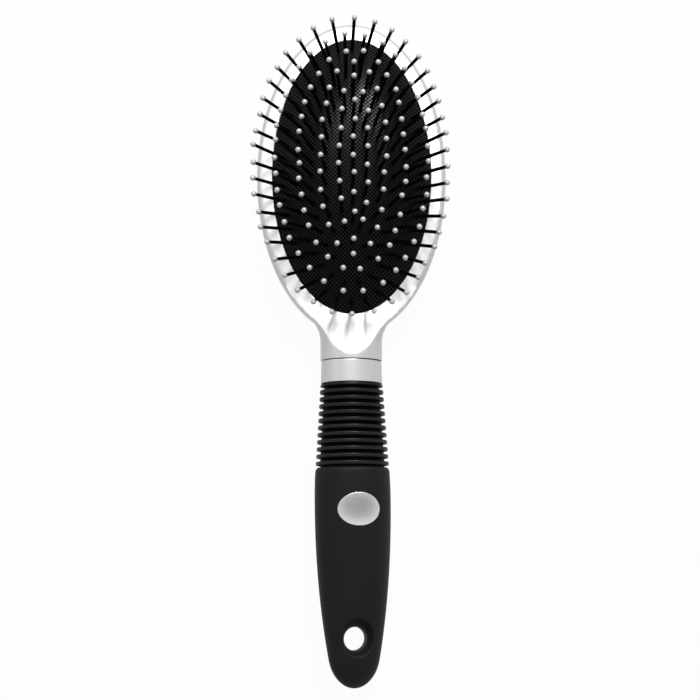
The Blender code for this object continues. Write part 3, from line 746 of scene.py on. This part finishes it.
def neck_half_width(head, along):
    """Plan outline of the neck, which flares through an arc into a straight slope."""
    past = along - head.flare_start
    if past <= 0:
        return head.neck_width / 2
    bend = head.flare_radius * math.sin(math.atan(head.flare_slope))
    arc = min(past, bend)
    wide = head.neck_width / 2 + head.flare_radius - math.sqrt(head.flare_radius ** 2 - arc ** 2)
    return wide + head.flare_slope * max(past - bend, 0.0)


def inside_dish(head, along):
    """Half width of the neck, kept just inside the dish's outline once it reaches the deck."""
    if along < head.ramp_foot:
        return neck_half_width(head, along)
    outline = head.width / 2 * math.sqrt(1 - (along / head.foot) ** 2)
    return min(neck_half_width(head, along), outline - head.edge_cover)


def model_dish(head):
    """The oval dish, from the flat of its back round its side to the deck."""
    back_steps = 20
    shoulder_steps = 8
    rings = []
    for i in range(back_steps + 1):
        angle = math.pi / 2 * (1 - i / back_steps)
        rings.append((head.back_round * (1 - math.cos(angle)), head.widest * (1 - math.sin(angle))))
    for i in range(1, shoulder_steps + 1):
        angle = math.pi / 2 * i / shoulder_steps
        rings.append((head.shoulder * (1 - math.cos(angle)),
                      head.widest + head.shoulder * math.sin(angle)))
    rows = [(height, head.width / 2 - inset, head.tip - inset) for inset, height in rings]
    dish = skin_up("dish", rows, sides=192)
    edit(dish)
    choose(lambda place: place.y < 0)
    bpy.ops.transform.resize(value=(1.0, head.foot / head.tip, 1.0), center_override=(0.0, 0.0, 0.0))
    bpy.ops.object.mode_set(mode="OBJECT")
    return dish


def model_neck(head, axis):
    """The neck with its flare and its keel, which rises until it ends inside the dish."""
    steps = 48
    top = axis + head.neck_thickness / 2
    start = head.neck_end - head.neck_spare
    ovals = []
    for i in range(steps + 1):
        along = start + (head.keel_end - start) * i / steps
        rise = max(0.0, (along - head.flare_start) / (head.keel_end - head.flare_start))
        low = axis - head.neck_thickness / 2 + head.keel_rise * rise ** head.keel_power
        ovals.append(((0.0, along, (top + low) / 2), inside_dish(head, along), (top - low) / 2))
    return skin_ovals("neck", ovals, sides=96, upright=True)


def ramp_bend(head):
    """Angle of the ramp, and radius of the curve that leads from the deck into it."""
    angle = math.atan(head.ramp_slope)
    return angle, head.ramp_blend / math.tan(angle / 2)


def recess_floor(head, along):
    """Height and slope of the deck and the ramp at one place along the brush."""
    angle, radius = ramp_bend(head)
    past = head.ramp_foot + head.ramp_blend - along
    if past <= 0:
        return head.deck, 0.0
    if past < radius * math.sin(angle):
        turned = math.asin(past / radius)
        return head.deck + radius * (1 - math.cos(turned)), math.tan(turned)
    return head.deck + head.ramp_slope * (head.ramp_foot - along), head.ramp_slope


def model_ramp_cutter(head):
    """A sheet along the deck and up the ramp, raised into a block that cuts all above it."""
    angle, radius = ramp_bend(head)
    spare = 0.02
    headroom = 0.05
    steps = 16
    start = head.tip + spare
    bend = head.ramp_foot + head.ramp_blend
    path = []
    for i in range(steps + 1):
        turned = angle * i / steps
        path.append((bend - radius * math.sin(turned), head.deck + radius * (1 - math.cos(turned))))
    reach = head.ramp_foot - head.neck_end + spare
    path.append((head.ramp_foot - reach, head.deck + head.ramp_slope * reach))
    start_fresh()
    middle = (0.0, (start + bend) / 2, head.deck)
    bpy.ops.mesh.primitive_plane_add(size=1.0, enter_editmode=True, location=middle)
    bpy.ops.transform.resize(value=(2 * head.width, start - bend, 1.0), center_override=middle)
    choose(lambda place: abs(place.y - bend) < 0.0001, "EDGE")
    for (y0, z0), (y1, z1) in zip(path, path[1:]):
        bpy.ops.mesh.extrude_region_move(TRANSFORM_OT_translate={"value": (0.0, y1 - y0, z1 - z0)})
    bpy.ops.mesh.select_mode(type="FACE")
    bpy.ops.mesh.select_all(action="SELECT")
    bpy.ops.mesh.extrude_region_move(TRANSFORM_OT_translate={"value": (0.0, 0.0, headroom)})
    return finish_shape("ramp_cutter")


def model_pocket_cutter(head, cushion):
    """The hollow under the cushion, the groove for its flange and the rounded opening."""
    lip_under = head.deck - head.lip
    groove_under = lip_under - cushion.flange_thickness - 2 * cushion.gap
    flange = cushion.flange_width + cushion.gap
    edge = head.lip_edge
    softened = edge * 0.3
    profile = [
        (-head.pocket_taper, head.pocket_floor),
        (-head.pocket_taper + head.pocket_round, head.pocket_floor + head.pocket_round),
        (-cushion.wall, groove_under),
        (flange, groove_under),
        (flange, lip_under),
        (cushion.gap, lip_under),
        (cushion.gap, head.deck - edge),
        (cushion.gap + softened, head.deck - softened),
        (cushion.gap + edge, head.deck),
        (cushion.gap + edge, head.deck + head.shoulder),
    ]
    rows = [(height, cushion.width / 2 + grow, cushion.length / 2 + grow) for grow, height in profile]
    return skin_up("pocket_cutter", rows, sides=192)


def model_spigot(head, brush):
    """The tongue that runs through the collar into the handle's core."""
    root = head.neck_end + 0.006
    end = head.neck_end - head.spigot_length
    chamfer = 0.001
    rows = [(along, head.spigot_width / 2 - cut, head.spigot_thickness / 2 - cut)
            for along, cut in ((root, 0.0), (end + chamfer, 0.0), (end, chamfer))]
    spigot = skin_along("spigot", rows, sides=64)
    put_on_handle(spigot, brush)
    return spigot


class BRUSH_OT_head(bpy.types.Operator):
    """Model the silver head: dish, neck, ramp, pocket and spigot"""
    bl_idname = "brush.head"
    bl_label = "Head"

    def execute(self, context):
        brush = context.scene.brush
        sizes = brush.head
        axis = handle_place(brush).translation.z
        head = model_dish(sizes)
        combine(head, model_neck(sizes, axis), "UNION")
        combine(head, model_ramp_cutter(sizes), "DIFFERENCE")
        smooth_skin(head, sizes.grain, sizes.softening)
        self.trim_neck(head, sizes)
        self.level_deck(head, sizes)
        combine(head, model_pocket_cutter(sizes, brush.cushion), "DIFFERENCE")
        combine(head, model_spigot(sizes, brush), "UNION")
        head.name = "head_shell"
        face_outwards(head)
        shade(head)
        self.mark_recess(head, sizes)
        lacquer = silver_lacquer("silver_lacquer", brush.colours.silver, brush.colours.recess)
        hand_over(head, "brush_body", lacquer, "satin_silver", "head_body")
        return {"FINISHED"}

    def trim_neck(self, head, sizes):
        """Cut the neck off flat where it meets the collar."""
        edit(head)
        bpy.ops.mesh.select_all(action="SELECT")
        bpy.ops.mesh.bisect(plane_co=(0.0, sizes.neck_end, 0.0), plane_no=(0.0, 1.0, 0.0),
                            use_fill=True, clear_inner=True)
        bpy.ops.object.mode_set(mode="OBJECT")

    def level_deck(self, head, sizes):
        """Bring the deck's skin to one exact level."""
        near = sizes.grain * 0.4
        flat_from = sizes.ramp_foot + sizes.ramp_blend
        edit(head)
        choose(lambda place: abs(place.z - sizes.deck) < near and place.y > flat_from)
        bpy.ops.transform.resize(value=(1.0, 1.0, 0.0), center_override=(0.0, 0.0, sizes.deck))
        bpy.ops.object.mode_set(mode="OBJECT")

    def mark_recess(self, head, sizes):
        """Mark the deck and the ramp, where the lacquer is painted paler as a painted highlight and made
        less metallic; the mark fades out where the skin turns away from them.
        """
        fade_from, fade_over = 0.93, 0.05
        marks = [0.0] * len(head.data.vertices)
        for face in head.data.polygons:
            height, slope = recess_floor(sizes, face.center.y)
            if abs(face.center.z - height) > 2 * sizes.grain:
                continue
            facing = face.normal.dot(Vector((0.0, slope, 1.0)).normalized())
            share = min(max((facing - fade_from) / fade_over, 0.0), 1.0)
            for index in face.vertices:
                marks[index] = max(marks[index], share)
        store_marks(head, RECESS_MARK, marks)


# Cushion and pins


def dome(cushion, x, y):
    """Height of the cushion's outer face above the deck."""
    share = math.hypot(x / (cushion.width / 2), y / (cushion.length / 2))
    return cushion.rise * (1 - share ** cushion.power)


def pin_direction(cushion, pins, x, y):
    """Pins stand almost square to the dome, and the outer ones sway a little to one side."""
    half_width = cushion.width / 2
    half_length = cushion.length / 2
    share = math.hypot(x / half_width, y / half_length)
    steep = pins.lean * cushion.power * cushion.rise * share ** (cushion.power - 2)
    side = x / half_width
    across = steep * x / half_width ** 2 + pins.sway_across * side ** 2
    along = steep * y / half_length ** 2 + pins.sway_along * share ** pins.sway_power - pins.twist * side
    return Vector((across, along, 1.0)).normalized()


def row_points(half_width, half_length, amount, phase):
    """Points at equal steps along an oval, starting at its tip."""
    fine = 720
    angles = [math.tau * i / fine for i in range(fine + 1)]
    outline = [(-half_width * math.sin(angle), half_length * math.cos(angle)) for angle in angles]
    lengths_so_far = [0.0]
    for before, after in zip(outline, outline[1:]):
        lengths_so_far.append(lengths_so_far[-1] + math.dist(before, after))
    points = []
    step = 0
    for i in range(amount):
        goal = (i + phase) / amount * lengths_so_far[-1]
        while lengths_so_far[step + 1] < goal:
            step += 1
        share = (goal - lengths_so_far[step]) / (lengths_so_far[step + 1] - lengths_so_far[step])
        angle = angles[step] + (angles[step + 1] - angles[step]) * share
        points.append((-half_width * math.sin(angle), half_length * math.cos(angle)))
    return points


# Name, body, construction node, number of pins and the share of a step by which a row starts late
PIN_ROWS = (
    ("outer_row", "outer_pins", "pin_row_1", 44, 0.0),
    ("second_row", "second_pins", "pin_row_2", 38, 0.5),
    ("third_row", "third_pins", "pin_row_3", 32, 0.5),
    ("fourth_row", "fourth_pins", "pin_row_4", 24, 0.0),
    ("middle_row", "middle_pins", "pin_row_middle", 18, 0.0),
)


def pins_of_row(brush, row):
    """Where the pins of one row leave the dome."""
    cushion = brush.cushion
    pins = brush.pins
    amount, phase = PIN_ROWS[row][3:]
    points = row_points(cushion.width / 2 - pins.insets_across[row],
                        cushion.length / 2 - pins.insets_along[row], amount, phase)
    if row == len(PIN_ROWS) - 1:
        step = pins.middle_length / (pins.middle_count - 1)
        points += [(0.0, pins.middle_length / 2 - i * step) for i in range(pins.middle_count)]
    return points


def copies_at_pins(original, brush, row):
    """Copy a piece modelled round the Z axis to each pin of a row, each with its own mesh."""
    copies = []
    chance = random.Random(row)
    for x, y in pins_of_row(brush, row):
        direction = pin_direction(brush.cushion, brush.pins, x, y)
        direction.x += chance.gauss(0.0, brush.pins.rocking)
        direction.y += chance.gauss(0.0, brush.pins.rocking)
        foot = Vector((x, y, brush.head.deck + dome(brush.cushion, x, y)))
        copy = original.copy()
        copy.data = original.data.copy()
        bpy.context.scene.collection.objects.link(copy)
        leaning = direction.to_track_quat("Z", "Y").to_matrix().to_4x4()
        copy.matrix_world = Matrix.Translation(foot) @ leaning
        copies.append(copy)
    return copies


class BRUSH_OT_cushion(bpy.types.Operator):
    """Model the domed rubber cushion with a hole for each pin"""
    bl_idname = "brush.cushion"
    bl_label = "Cushion"

    def execute(self, context):
        brush = context.scene.brush
        sizes = brush.cushion
        rubber = skin_up("cushion_rubber", self.rows(sizes, brush.head), sides=176, points=(0, -1))
        combine(rubber, self.model_plugs(brush), "DIFFERENCE")
        face_outwards(rubber)
        shade(rubber)
        hand_over(rubber, "brush_body", woven_rubber("woven_rubber", brush.colours.rubber),
                  "cushion_rubber", "cushion")
        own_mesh(rubber)
        return {"FINISHED"}

    def model_plugs(self, brush):
        """A round plug for each pin's hole, joined into one cutter."""
        below, above = -0.004, 0.003
        radius = brush.pins.hole / 2
        plug = skin_up("plug", [(below, radius, radius), (above, radius, radius)], sides=12)
        plugs = [copy for row in range(len(PIN_ROWS)) for copy in copies_at_pins(plug, brush, row)]
        bpy.data.objects.remove(plug, do_unlink=True)
        return join_all(plugs, "plugs")

    def rows(self, sizes, head):
        """Ovals from the middle of the inner face out to the flange and back over the dome."""
        half_width = sizes.width / 2
        half_length = sizes.length / 2
        steps = 44
        smallest = 0.01
        shares = [smallest + (1 - smallest) * i / steps for i in range(steps + 1)]
        flange_top = head.deck - head.lip - sizes.gap
        flange_under = flange_top - sizes.flange_thickness
        rows = []
        for share in shares:
            inner_wide = (half_width - sizes.wall) * share
            inner_long = (half_length - sizes.wall) * share
            height = head.deck + dome(sizes, inner_wide, 0.0) - sizes.membrane
            rows.append((height, inner_wide, inner_long))
        for grow, height in ((-sizes.wall, flange_under), (sizes.flange_width, flange_under),
                             (sizes.flange_width, flange_top), (0.0, flange_top)):
            rows.append((height, half_width + grow, half_length + grow))
        for share in reversed(shares):
            height = head.deck + sizes.rise * (1 - share ** sizes.power)
            rows.append((height, half_width * share, half_length * share))
        return rows


class BRUSH_OT_pins(bpy.types.Operator):
    """Model one pin and one ball tip, and copy them to each row"""
    bl_idname = "brush.pins"
    bl_label = "Pins"

    def execute(self, context):
        brush = context.scene.brush
        sizes = brush.pins
        wire = self.model_wire(sizes)
        ball = self.model_ball(sizes)
        coating = coated_wire("black_coating", brush.colours.wire)
        pearl = pearl_ball("pearl_tip", brush.colours.ball)
        for row, (name, body, node, _, _) in enumerate(PIN_ROWS):
            wires = join_all(copies_at_pins(wire, brush, row), name + "_wires")
            hand_over(wires, body, coating, "pin_wire", node)
            balls = join_all(copies_at_pins(ball, brush, row), name + "_balls")
            hand_over(balls, body, pearl, None, node)
        for original in (wire, ball):
            bpy.data.objects.remove(original, do_unlink=True)
        return {"FINISHED"}

    def model_wire(self, sizes):
        """A straight wire with a flat foot under the rubber, which runs into its ball."""
        radius = sizes.wire / 2
        foot = sizes.foot / 2
        under = -sizes.foot_depth
        plate, bevel = 0.0004, 0.0001
        profile = ((under, foot * 0.85), (under + bevel, foot), (under + plate, foot),
                   (under + plate + bevel, radius), (0.0, radius), (sizes.reach * 0.5, radius),
                   (sizes.reach - sizes.ball * 0.3, radius * 0.96))
        wire = skin_up("wire", [(height, size, size) for height, size in profile], sides=8)
        shade(wire, 50.0)
        return wire

    def model_ball(self, sizes):
        """A slightly long ball whose lower end hugs the wire."""
        radius = sizes.ball / 2
        stretched = radius * 1.06
        first, sweep = 0.14, 0.83
        steps = 7
        rows = []
        for i in range(steps + 1):
            angle = math.pi * (first + sweep * i / steps)
            size = radius * math.sin(angle)
            rows.append((sizes.reach - stretched * math.cos(angle), size, size))
        ball = skin_up("ball", rows, sides=10, points=(-1,))
        shade(ball, 60.0)
        return ball


# Handle


class BRUSH_OT_collar(bpy.types.Operator):
    """Model the silver collar between neck and ribs"""
    bl_idname = "brush.collar"
    bl_label = "Collar"

    def execute(self, context):
        brush = context.scene.brush
        sizes = brush.handle
        start = brush.head.neck_end - sizes.gap
        edge = sizes.collar_edge
        steps = 4
        turns = [math.pi / 2 * i / steps for i in range(steps + 1)]
        outer = [(edge * (1 - math.cos(angle)), edge * (1 - math.sin(angle))) for angle in turns]
        outer.append((2 * edge, 0.0))
        outer += [(sizes.collar_length - past, cut) for past, cut in reversed(outer)]
        rows = []
        for past, cut in outer:
            change = sizes.collar_flare / 2 * past / sizes.collar_length - cut
            rows.append((start - past, sizes.collar_width / 2 + change,
                         sizes.collar_thickness / 2 + change))
        rows += [(start - past, brush.head.spigot_width / 2 + sizes.gap,
                  brush.head.spigot_thickness / 2 + sizes.gap) for past in (sizes.collar_length, 0.0)]
        collar = skin_along("collar_ring", rows, sides=128, ring=True)
        put_on_handle(collar, brush)
        shade(collar)
        lacquer = silver_lacquer("collar_lacquer", brush.colours.silver, brush.colours.silver)
        hand_over(collar, "brush_body", lacquer, "satin_silver", "collar")
        return {"FINISHED"}


class BRUSH_OT_sleeve(bpy.types.Operator):
    """Model the rubber sleeve with its lip and round-cornered ribs"""
    bl_idname = "brush.sleeve"
    bl_label = "Ribbed sleeve"

    def execute(self, context):
        brush = context.scene.brush
        sizes = brush.sleeve
        start = sleeve_start(brush)
        handle = brush.handle
        rows = [(start - past, radius, radius * sizes.flatness) for past, radius in self.profile(sizes)]
        rows += [(start - past, handle.core_width / 2 + handle.gap,
                  handle.core_thickness / 2 + handle.gap) for past in (sleeve_length(sizes), 0.0)]
        sleeve = skin_along("rib_sleeve", rows, sides=128, ring=True)
        self.mark_crests(sleeve, sizes, start)
        put_on_handle(sleeve, brush)
        shade(sleeve)
        # The crest coat stands in for shade in the grooves.
        rubber = moulded_plastic("rib_rubber", brush.colours.ribs, roughness=0.30, pebbles=2.6,
                                 depth=0.00001, specular=0.015, shine=0.42)
        hand_over(sleeve, "brush_body", rubber, "sleeve_rubber", "ribbed_sleeve")
        return {"FINISHED"}

    def profile(self, sizes):
        """Place and half width of each ring, with rounded corners on lip and ribs."""
        corner = sizes.corner
        soft = corner * 0.6
        turns = [math.radians(angle) for angle in (0, 30, 60, 90)]
        lip = sizes.lip_width / 2
        profile = [(0.0, lip - corner * 0.4), (corner * 0.15, lip - corner * 0.1), (corner * 0.4, lip)]
        profile += self.far_corner(sizes.lip_length, lip + sizes.lip_flare / 2, corner * 0.3, turns)
        groove = sizes.pitch - sizes.crest
        for i in range(sizes.ribs):
            share = i / (sizes.ribs - 1)
            crest = (sizes.first + (sizes.last - sizes.first) * share) / 2
            low = crest - sizes.depth
            start = sizes.lip_length + i * sizes.pitch
            top = start + groove
            near = start + sizes.flank
            far = top - sizes.flank
            profile += [(near - soft * 0.5, low + soft), (near + soft * 0.4, low),
                        (far - soft * 0.4, low), (far + soft * 0.5, low + soft)]
            profile += [(top - corner * 0.2 + corner * (1 - math.cos(angle)),
                         crest - corner * (1 - math.sin(angle))) for angle in turns]
            profile += self.far_corner(start + sizes.pitch + corner * 0.2, crest, corner, turns)
        end = profile[-1][0]
        low = sizes.last / 2 - sizes.depth
        profile += [(end + sizes.flank * 0.7, low), (sleeve_length(sizes), low)]
        return profile

    def mark_crests(self, sleeve, sizes, start):
        """Mark how far each point stands out of the grooves."""
        marks = []
        for vertex in sleeve.data.vertices:
            share = (start - vertex.co.y - sizes.lip_length) / (sizes.ribs * sizes.pitch)
            crest = (sizes.first + (sizes.last - sizes.first) * share) / 2
            radius = math.hypot(vertex.co.x, vertex.co.z / sizes.flatness)
            marks.append(min(max(1 + (radius - crest) / sizes.depth, 0.0), 1.0))
        store_marks(sleeve, CREST_MARK, marks)

    def far_corner(self, end, top, corner, turns):
        """A rounded corner between a crest and the flank beyond it."""
        return [(end - corner * (1 - math.sin(angle)), top - corner * (1 - math.cos(angle)))
                for angle in turns]


def grip_half_sizes(grip, past):
    """Half width and half thickness of the grip at a distance from its mouth."""
    found = []
    for widest, mouth, end, power in (
            (grip.width, grip.mouth_width, grip.end_width, grip.width_power),
            (grip.thickness, grip.mouth_thickness, grip.end_thickness, grip.thickness_power)):
        if past < grip.widest_at:
            size = widest - (widest - mouth) * (1 - past / grip.widest_at) ** 2
        else:
            share = (past - grip.widest_at) / grip.taper
            size = widest - (widest - end) * share ** power
        cap = min(max(past - grip.widest_at - grip.taper, 0.0) / grip.end_round, 1.0)
        shoulder = max(1 - past / grip.shoulder, 0.0)
        rounding = grip.shoulder_depth * (1 - math.sqrt(1 - shoulder ** 2))
        found.append(size / 2 * math.sqrt(1 - cap ** grip.end_power) - rounding)
    return found


def grip_length(grip):
    """From the grip's mouth to its end."""
    return grip.widest_at + grip.taper + grip.end_round


def model_grip_body(brush, proud=0.0):
    """The grip's outer form, or one that stands proud of it."""
    grip = brush.grip
    cap_start = grip.widest_at + grip.taper
    steps, taper_steps, cap_steps = 8, 28, 18
    crowding = 1.6
    nearly_closed = math.radians(88.5)
    stations = [grip.shoulder * (i / steps) ** crowding for i in range(steps + 1)]
    stations += [grip.shoulder + (grip.widest_at - grip.shoulder) * i / steps
                 for i in range(1, steps + 1)]
    stations += [grip.widest_at + grip.taper * i / taper_steps for i in range(1, taper_steps + 1)]
    stations += [cap_start + grip.end_round * math.sin(nearly_closed * i / cap_steps)
                 for i in range(1, cap_steps + 1)]
    rows = []
    for past in stations:
        wide, high = grip_half_sizes(grip, past)
        rows.append((grip_start(brush) - past, wide + proud, high + proud))
    return skin_along("grip_form", rows, sides=96, points=(-1,))


class BRUSH_OT_grip(bpy.types.Operator):
    """Model the soft grip with its hanging hole, core cavity and medallion seat"""
    bl_idname = "brush.grip"
    bl_label = "Grip"

    def execute(self, context):
        brush = context.scene.brush
        grip = model_grip_body(brush)
        combine(grip, self.model_hole_cutter(brush), "DIFFERENCE")
        smooth_skin(grip, brush.grip.grain, brush.grip.softening)
        combine(grip, self.model_cavity_cutter(brush), "DIFFERENCE")
        combine(grip, model_medallion_block(brush, brush.handle.gap * 0.5), "DIFFERENCE")
        grip.name = "soft_grip"
        face_outwards(grip)
        put_on_handle(grip, brush)
        shade(grip)
        rubber = moulded_plastic("grip_rubber", brush.colours.grip, roughness=0.50, pebbles=3.2,
                                 depth=0.000014, specular=0.14)
        hand_over(grip, "brush_body", rubber, "grip_rubber", "grip")
        return {"FINISHED"}

    def model_cavity_cutter(self, brush):
        """The room for the core, open at the grip's mouth."""
        spare = 0.001
        handle = brush.handle
        end = sleeve_start(brush) - handle.core_length - handle.gap
        rows = [(along, handle.core_width / 2 + handle.gap, handle.core_thickness / 2 + handle.gap)
                for along in (grip_start(brush) + spare, end)]
        return skin_along("cavity", rows, sides=96)

    def model_hole_cutter(self, brush):
        """A turned cutter for the land and both soft countersinks of the hanging hole."""
        grip = brush.grip
        centre = grip_start(brush) - grip_length(grip) + grip.hole_from_end
        surface = grip_half_sizes(grip, grip_length(grip) - grip.hole_from_end)[1]
        land = grip.land / 2
        spread = (grip.mouth - grip.hole) / 2
        steps = 12
        past_the_face = 1.4
        profile = []
        for i in range(steps + 1):
            share = past_the_face * i / steps
            profile.append((land + (surface - land) * share,
                            grip.hole / 2 + grip.hole_spare + spread * share ** grip.flare_power))
        profile = [(-height, size) for height, size in reversed(profile)] + profile
        rows = [(height, size, size) for height, size in profile]
        return skin_up("hole_cutter", rows, sides=72, along=centre)


def model_medallion_block(brush, grow):
    """An oval block at the medallion's place that runs from its seat's floor past the grip's face."""
    sizes = brush.medallion
    tall = 0.006
    floor = grip_half_sizes(brush.grip, sizes.from_mouth)[1] - sizes.thickness - grow
    rows = [(height, sizes.width / 2 + grow, sizes.length / 2 + grow) for height in (floor, floor + tall)]
    return skin_up("medallion_block", rows, sides=96, along=grip_start(brush) - sizes.from_mouth)


class BRUSH_OT_medallion(bpy.types.Operator):
    """Model the oval medallion, which follows the grip's face and has a rounded rim"""
    bl_idname = "brush.medallion"
    bl_label = "Medallion"

    def execute(self, context):
        brush = context.scene.brush
        sizes = brush.medallion
        plate = model_medallion_block(brush, 0.0)
        combine(plate, model_grip_body(brush, sizes.proud), "INTERSECT")
        smooth_skin(plate, sizes.grain, sizes.softening)
        plate.name = "medallion_plate"
        face_outwards(plate)
        put_on_handle(plate, brush)
        shade(plate, 35.0)
        metal = satin_metal("medallion_satin", brush.colours.medallion, self.painted_shade_place(brush),
                            (sizes.width * 0.5, sizes.length * 0.52))
        hand_over(plate, "brush_body", metal, "medallion_metal", "medallion")
        return {"FINISHED"}

    def painted_shade_place(self, brush):
        """A place on the face a little above and left of its middle, where the painted shade is darkest.
        """
        left, above = 0.0008, 0.0012
        from_mouth = brush.medallion.from_mouth
        face = grip_half_sizes(brush.grip, from_mouth)[1]
        return handle_place(brush) @ Vector((-left, grip_start(brush) - from_mouth + above, face))


class BRUSH_OT_core(bpy.types.Operator):
    """Give the hidden hard core its plain plastic"""
    bl_idname = "brush.core"
    bl_label = "Handle core"

    def execute(self, context):
        plastic = moulded_plastic("core_plastic", context.scene.brush.colours.core, roughness=0.45,
                                  pebbles=1.8, depth=0.00001, specular=0.5)
        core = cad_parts["handle_core"]
        core.data.materials.clear()
        core.data.materials.append(plastic)
        return {"FINISHED"}


# Stage


FLOOR_SIZE = 6.0
FLOOR_DROP = 0.0001
SENSOR_WIDTH = 36.0
WHITE = (1.0, 1.0, 1.0)

# Name, power setting, place, the point that it looks at, and its two sides, in metres
SOFTBOXES = (
    ("key_softbox", "key", (-0.05, 0.30, 0.53), (-0.05, 0.2999, 0.0), (0.20, 0.20)),
    ("far_softbox", "far", (0.0, 0.80, 0.44), (0.0, -0.05, 0.01), (0.70, 0.36)),
    ("accent_light", "accent", (0.14, 0.41, 0.55), (0.0, 0.0, 0.02), (0.14, 0.16)),
    ("side_softbox", "side", (-0.40, 0.24, 0.30), (-0.03, 0.04, 0.0), (0.30, 0.26)),
)


def add_softbox(name, watts, place, aim, sides):
    """A soft light that looks at a point and isn't seen by the camera."""
    lamp = bpy.data.lights.new(name, "AREA")
    lamp.shape = "RECTANGLE"
    lamp.size, lamp.size_y = sides
    lamp.energy = watts
    item = bpy.data.objects.new(name, lamp)
    bpy.context.scene.collection.objects.link(item)
    item.location = place
    item.rotation_euler = (Vector(place) - Vector(aim)).to_track_quat("Z", "Y").to_euler()
    item.visible_camera = False


class BRUSH_OT_stage(bpy.types.Operator):
    """Add the floor, the world, the softboxes and the camera"""
    bl_idname = "brush.stage"
    bl_label = "Stage"

    def execute(self, context):
        brush = context.scene.brush
        stage = brush.stage
        self.add_floor(brush)
        self.add_world(context, stage)
        for name, power, place, aim, sides in SOFTBOXES:
            add_softbox(name, getattr(stage, power), place, aim, sides)
        self.add_camera(context, stage)
        context.scene.view_settings.view_transform = "Standard"
        return {"FINISHED"}

    def add_floor(self, brush):
        """A pale floor that the camera and reflections see as white."""
        start_fresh()
        bpy.ops.mesh.primitive_plane_add(size=FLOOR_SIZE, location=(0.0, 0.0, -FLOOR_DROP))
        floor = bpy.context.active_object
        floor.name = "floor"
        settle(floor)
        finish = Finish("pale_floor")
        finish.use(Base_Color=brush.colours.floor, Roughness=0.9, Specular_IOR_Level=0.0)
        lit = Signal(finish, finish.shader.outputs[0])
        glow = finish.node("ShaderNodeEmission", {}, {"Color": WHITE, "Strength": 1.0})
        share = finish.seen_as_background() * brush.stage.floor_glow
        surface = finish.node("ShaderNodeMixShader", {}, {0: share, 1: lit, 2: glow})
        finish.fill(finish.tree.nodes["Material Output"].inputs["Surface"], surface)
        floor.data.materials.append(finish.material)

    def add_world(self, context, stage):
        """A soft light from all round, which the camera and reflections see as white."""
        world = bpy.data.worlds.new("studio")
        world.use_nodes = True
        context.scene.world = world
        nodes = Nodes(world.node_tree)
        strength = nodes.node("ShaderNodeMapRange", {}, {
            "Value": nodes.seen_as_background(), "To Min": stage.sky, "To Max": 1.0})
        background = world.node_tree.nodes["Background"]
        nodes.fill(background.inputs["Color"], WHITE)
        nodes.fill(background.inputs["Strength"], strength)

    def add_camera(self, context, stage):
        """The camera at the photograph's angle."""
        camera = bpy.data.cameras.new("camera")
        camera.sensor_width = SENSOR_WIDTH
        camera.lens = stage.lens
        item = bpy.data.objects.new("camera", camera)
        context.scene.collection.objects.link(item)
        item.location = stage.camera_place
        item.rotation_euler = stage.camera_turn
        context.scene.camera = item


PIECES = (BRUSH_OT_head, BRUSH_OT_cushion, BRUSH_OT_pins, BRUSH_OT_collar, BRUSH_OT_sleeve,
          BRUSH_OT_grip, BRUSH_OT_medallion, BRUSH_OT_core, BRUSH_OT_stage)


class BRUSH_PT_panel(bpy.types.Panel):
    """Buttons for each piece of the brush"""
    bl_idname = "BRUSH_PT_panel"
    bl_label = "Cushion Brush"
    bl_space_type = "VIEW_3D"
    bl_region_type = "UI"
    bl_category = "Cushion Brush"

    def draw(self, context):
        for piece in PIECES:
            self.layout.operator(piece.bl_idname)


CLASSES = (HeadSizes, CushionSizes, PinSizes, HandleSizes, SleeveSizes, GripSizes, MedallionSizes,
           Colours, StageSettings, BrushSettings, *PIECES, BRUSH_PT_panel)


def register():
    for item in CLASSES:
        bpy.utils.register_class(item)
    bpy.types.Scene.brush = bpy.props.PointerProperty(type=BrushSettings)


def unregister():
    del bpy.types.Scene.brush
    for item in reversed(CLASSES):
        bpy.utils.unregister_class(item)


def main():
    register()
    bpy.ops.brush.head()
    bpy.ops.brush.cushion()
    bpy.ops.brush.pins()
    bpy.ops.brush.collar()
    bpy.ops.brush.sleeve()
    bpy.ops.brush.grip()
    bpy.ops.brush.medallion()
    bpy.ops.brush.core()
    bpy.ops.brush.stage()


if __name__ == "__main__":
    main()
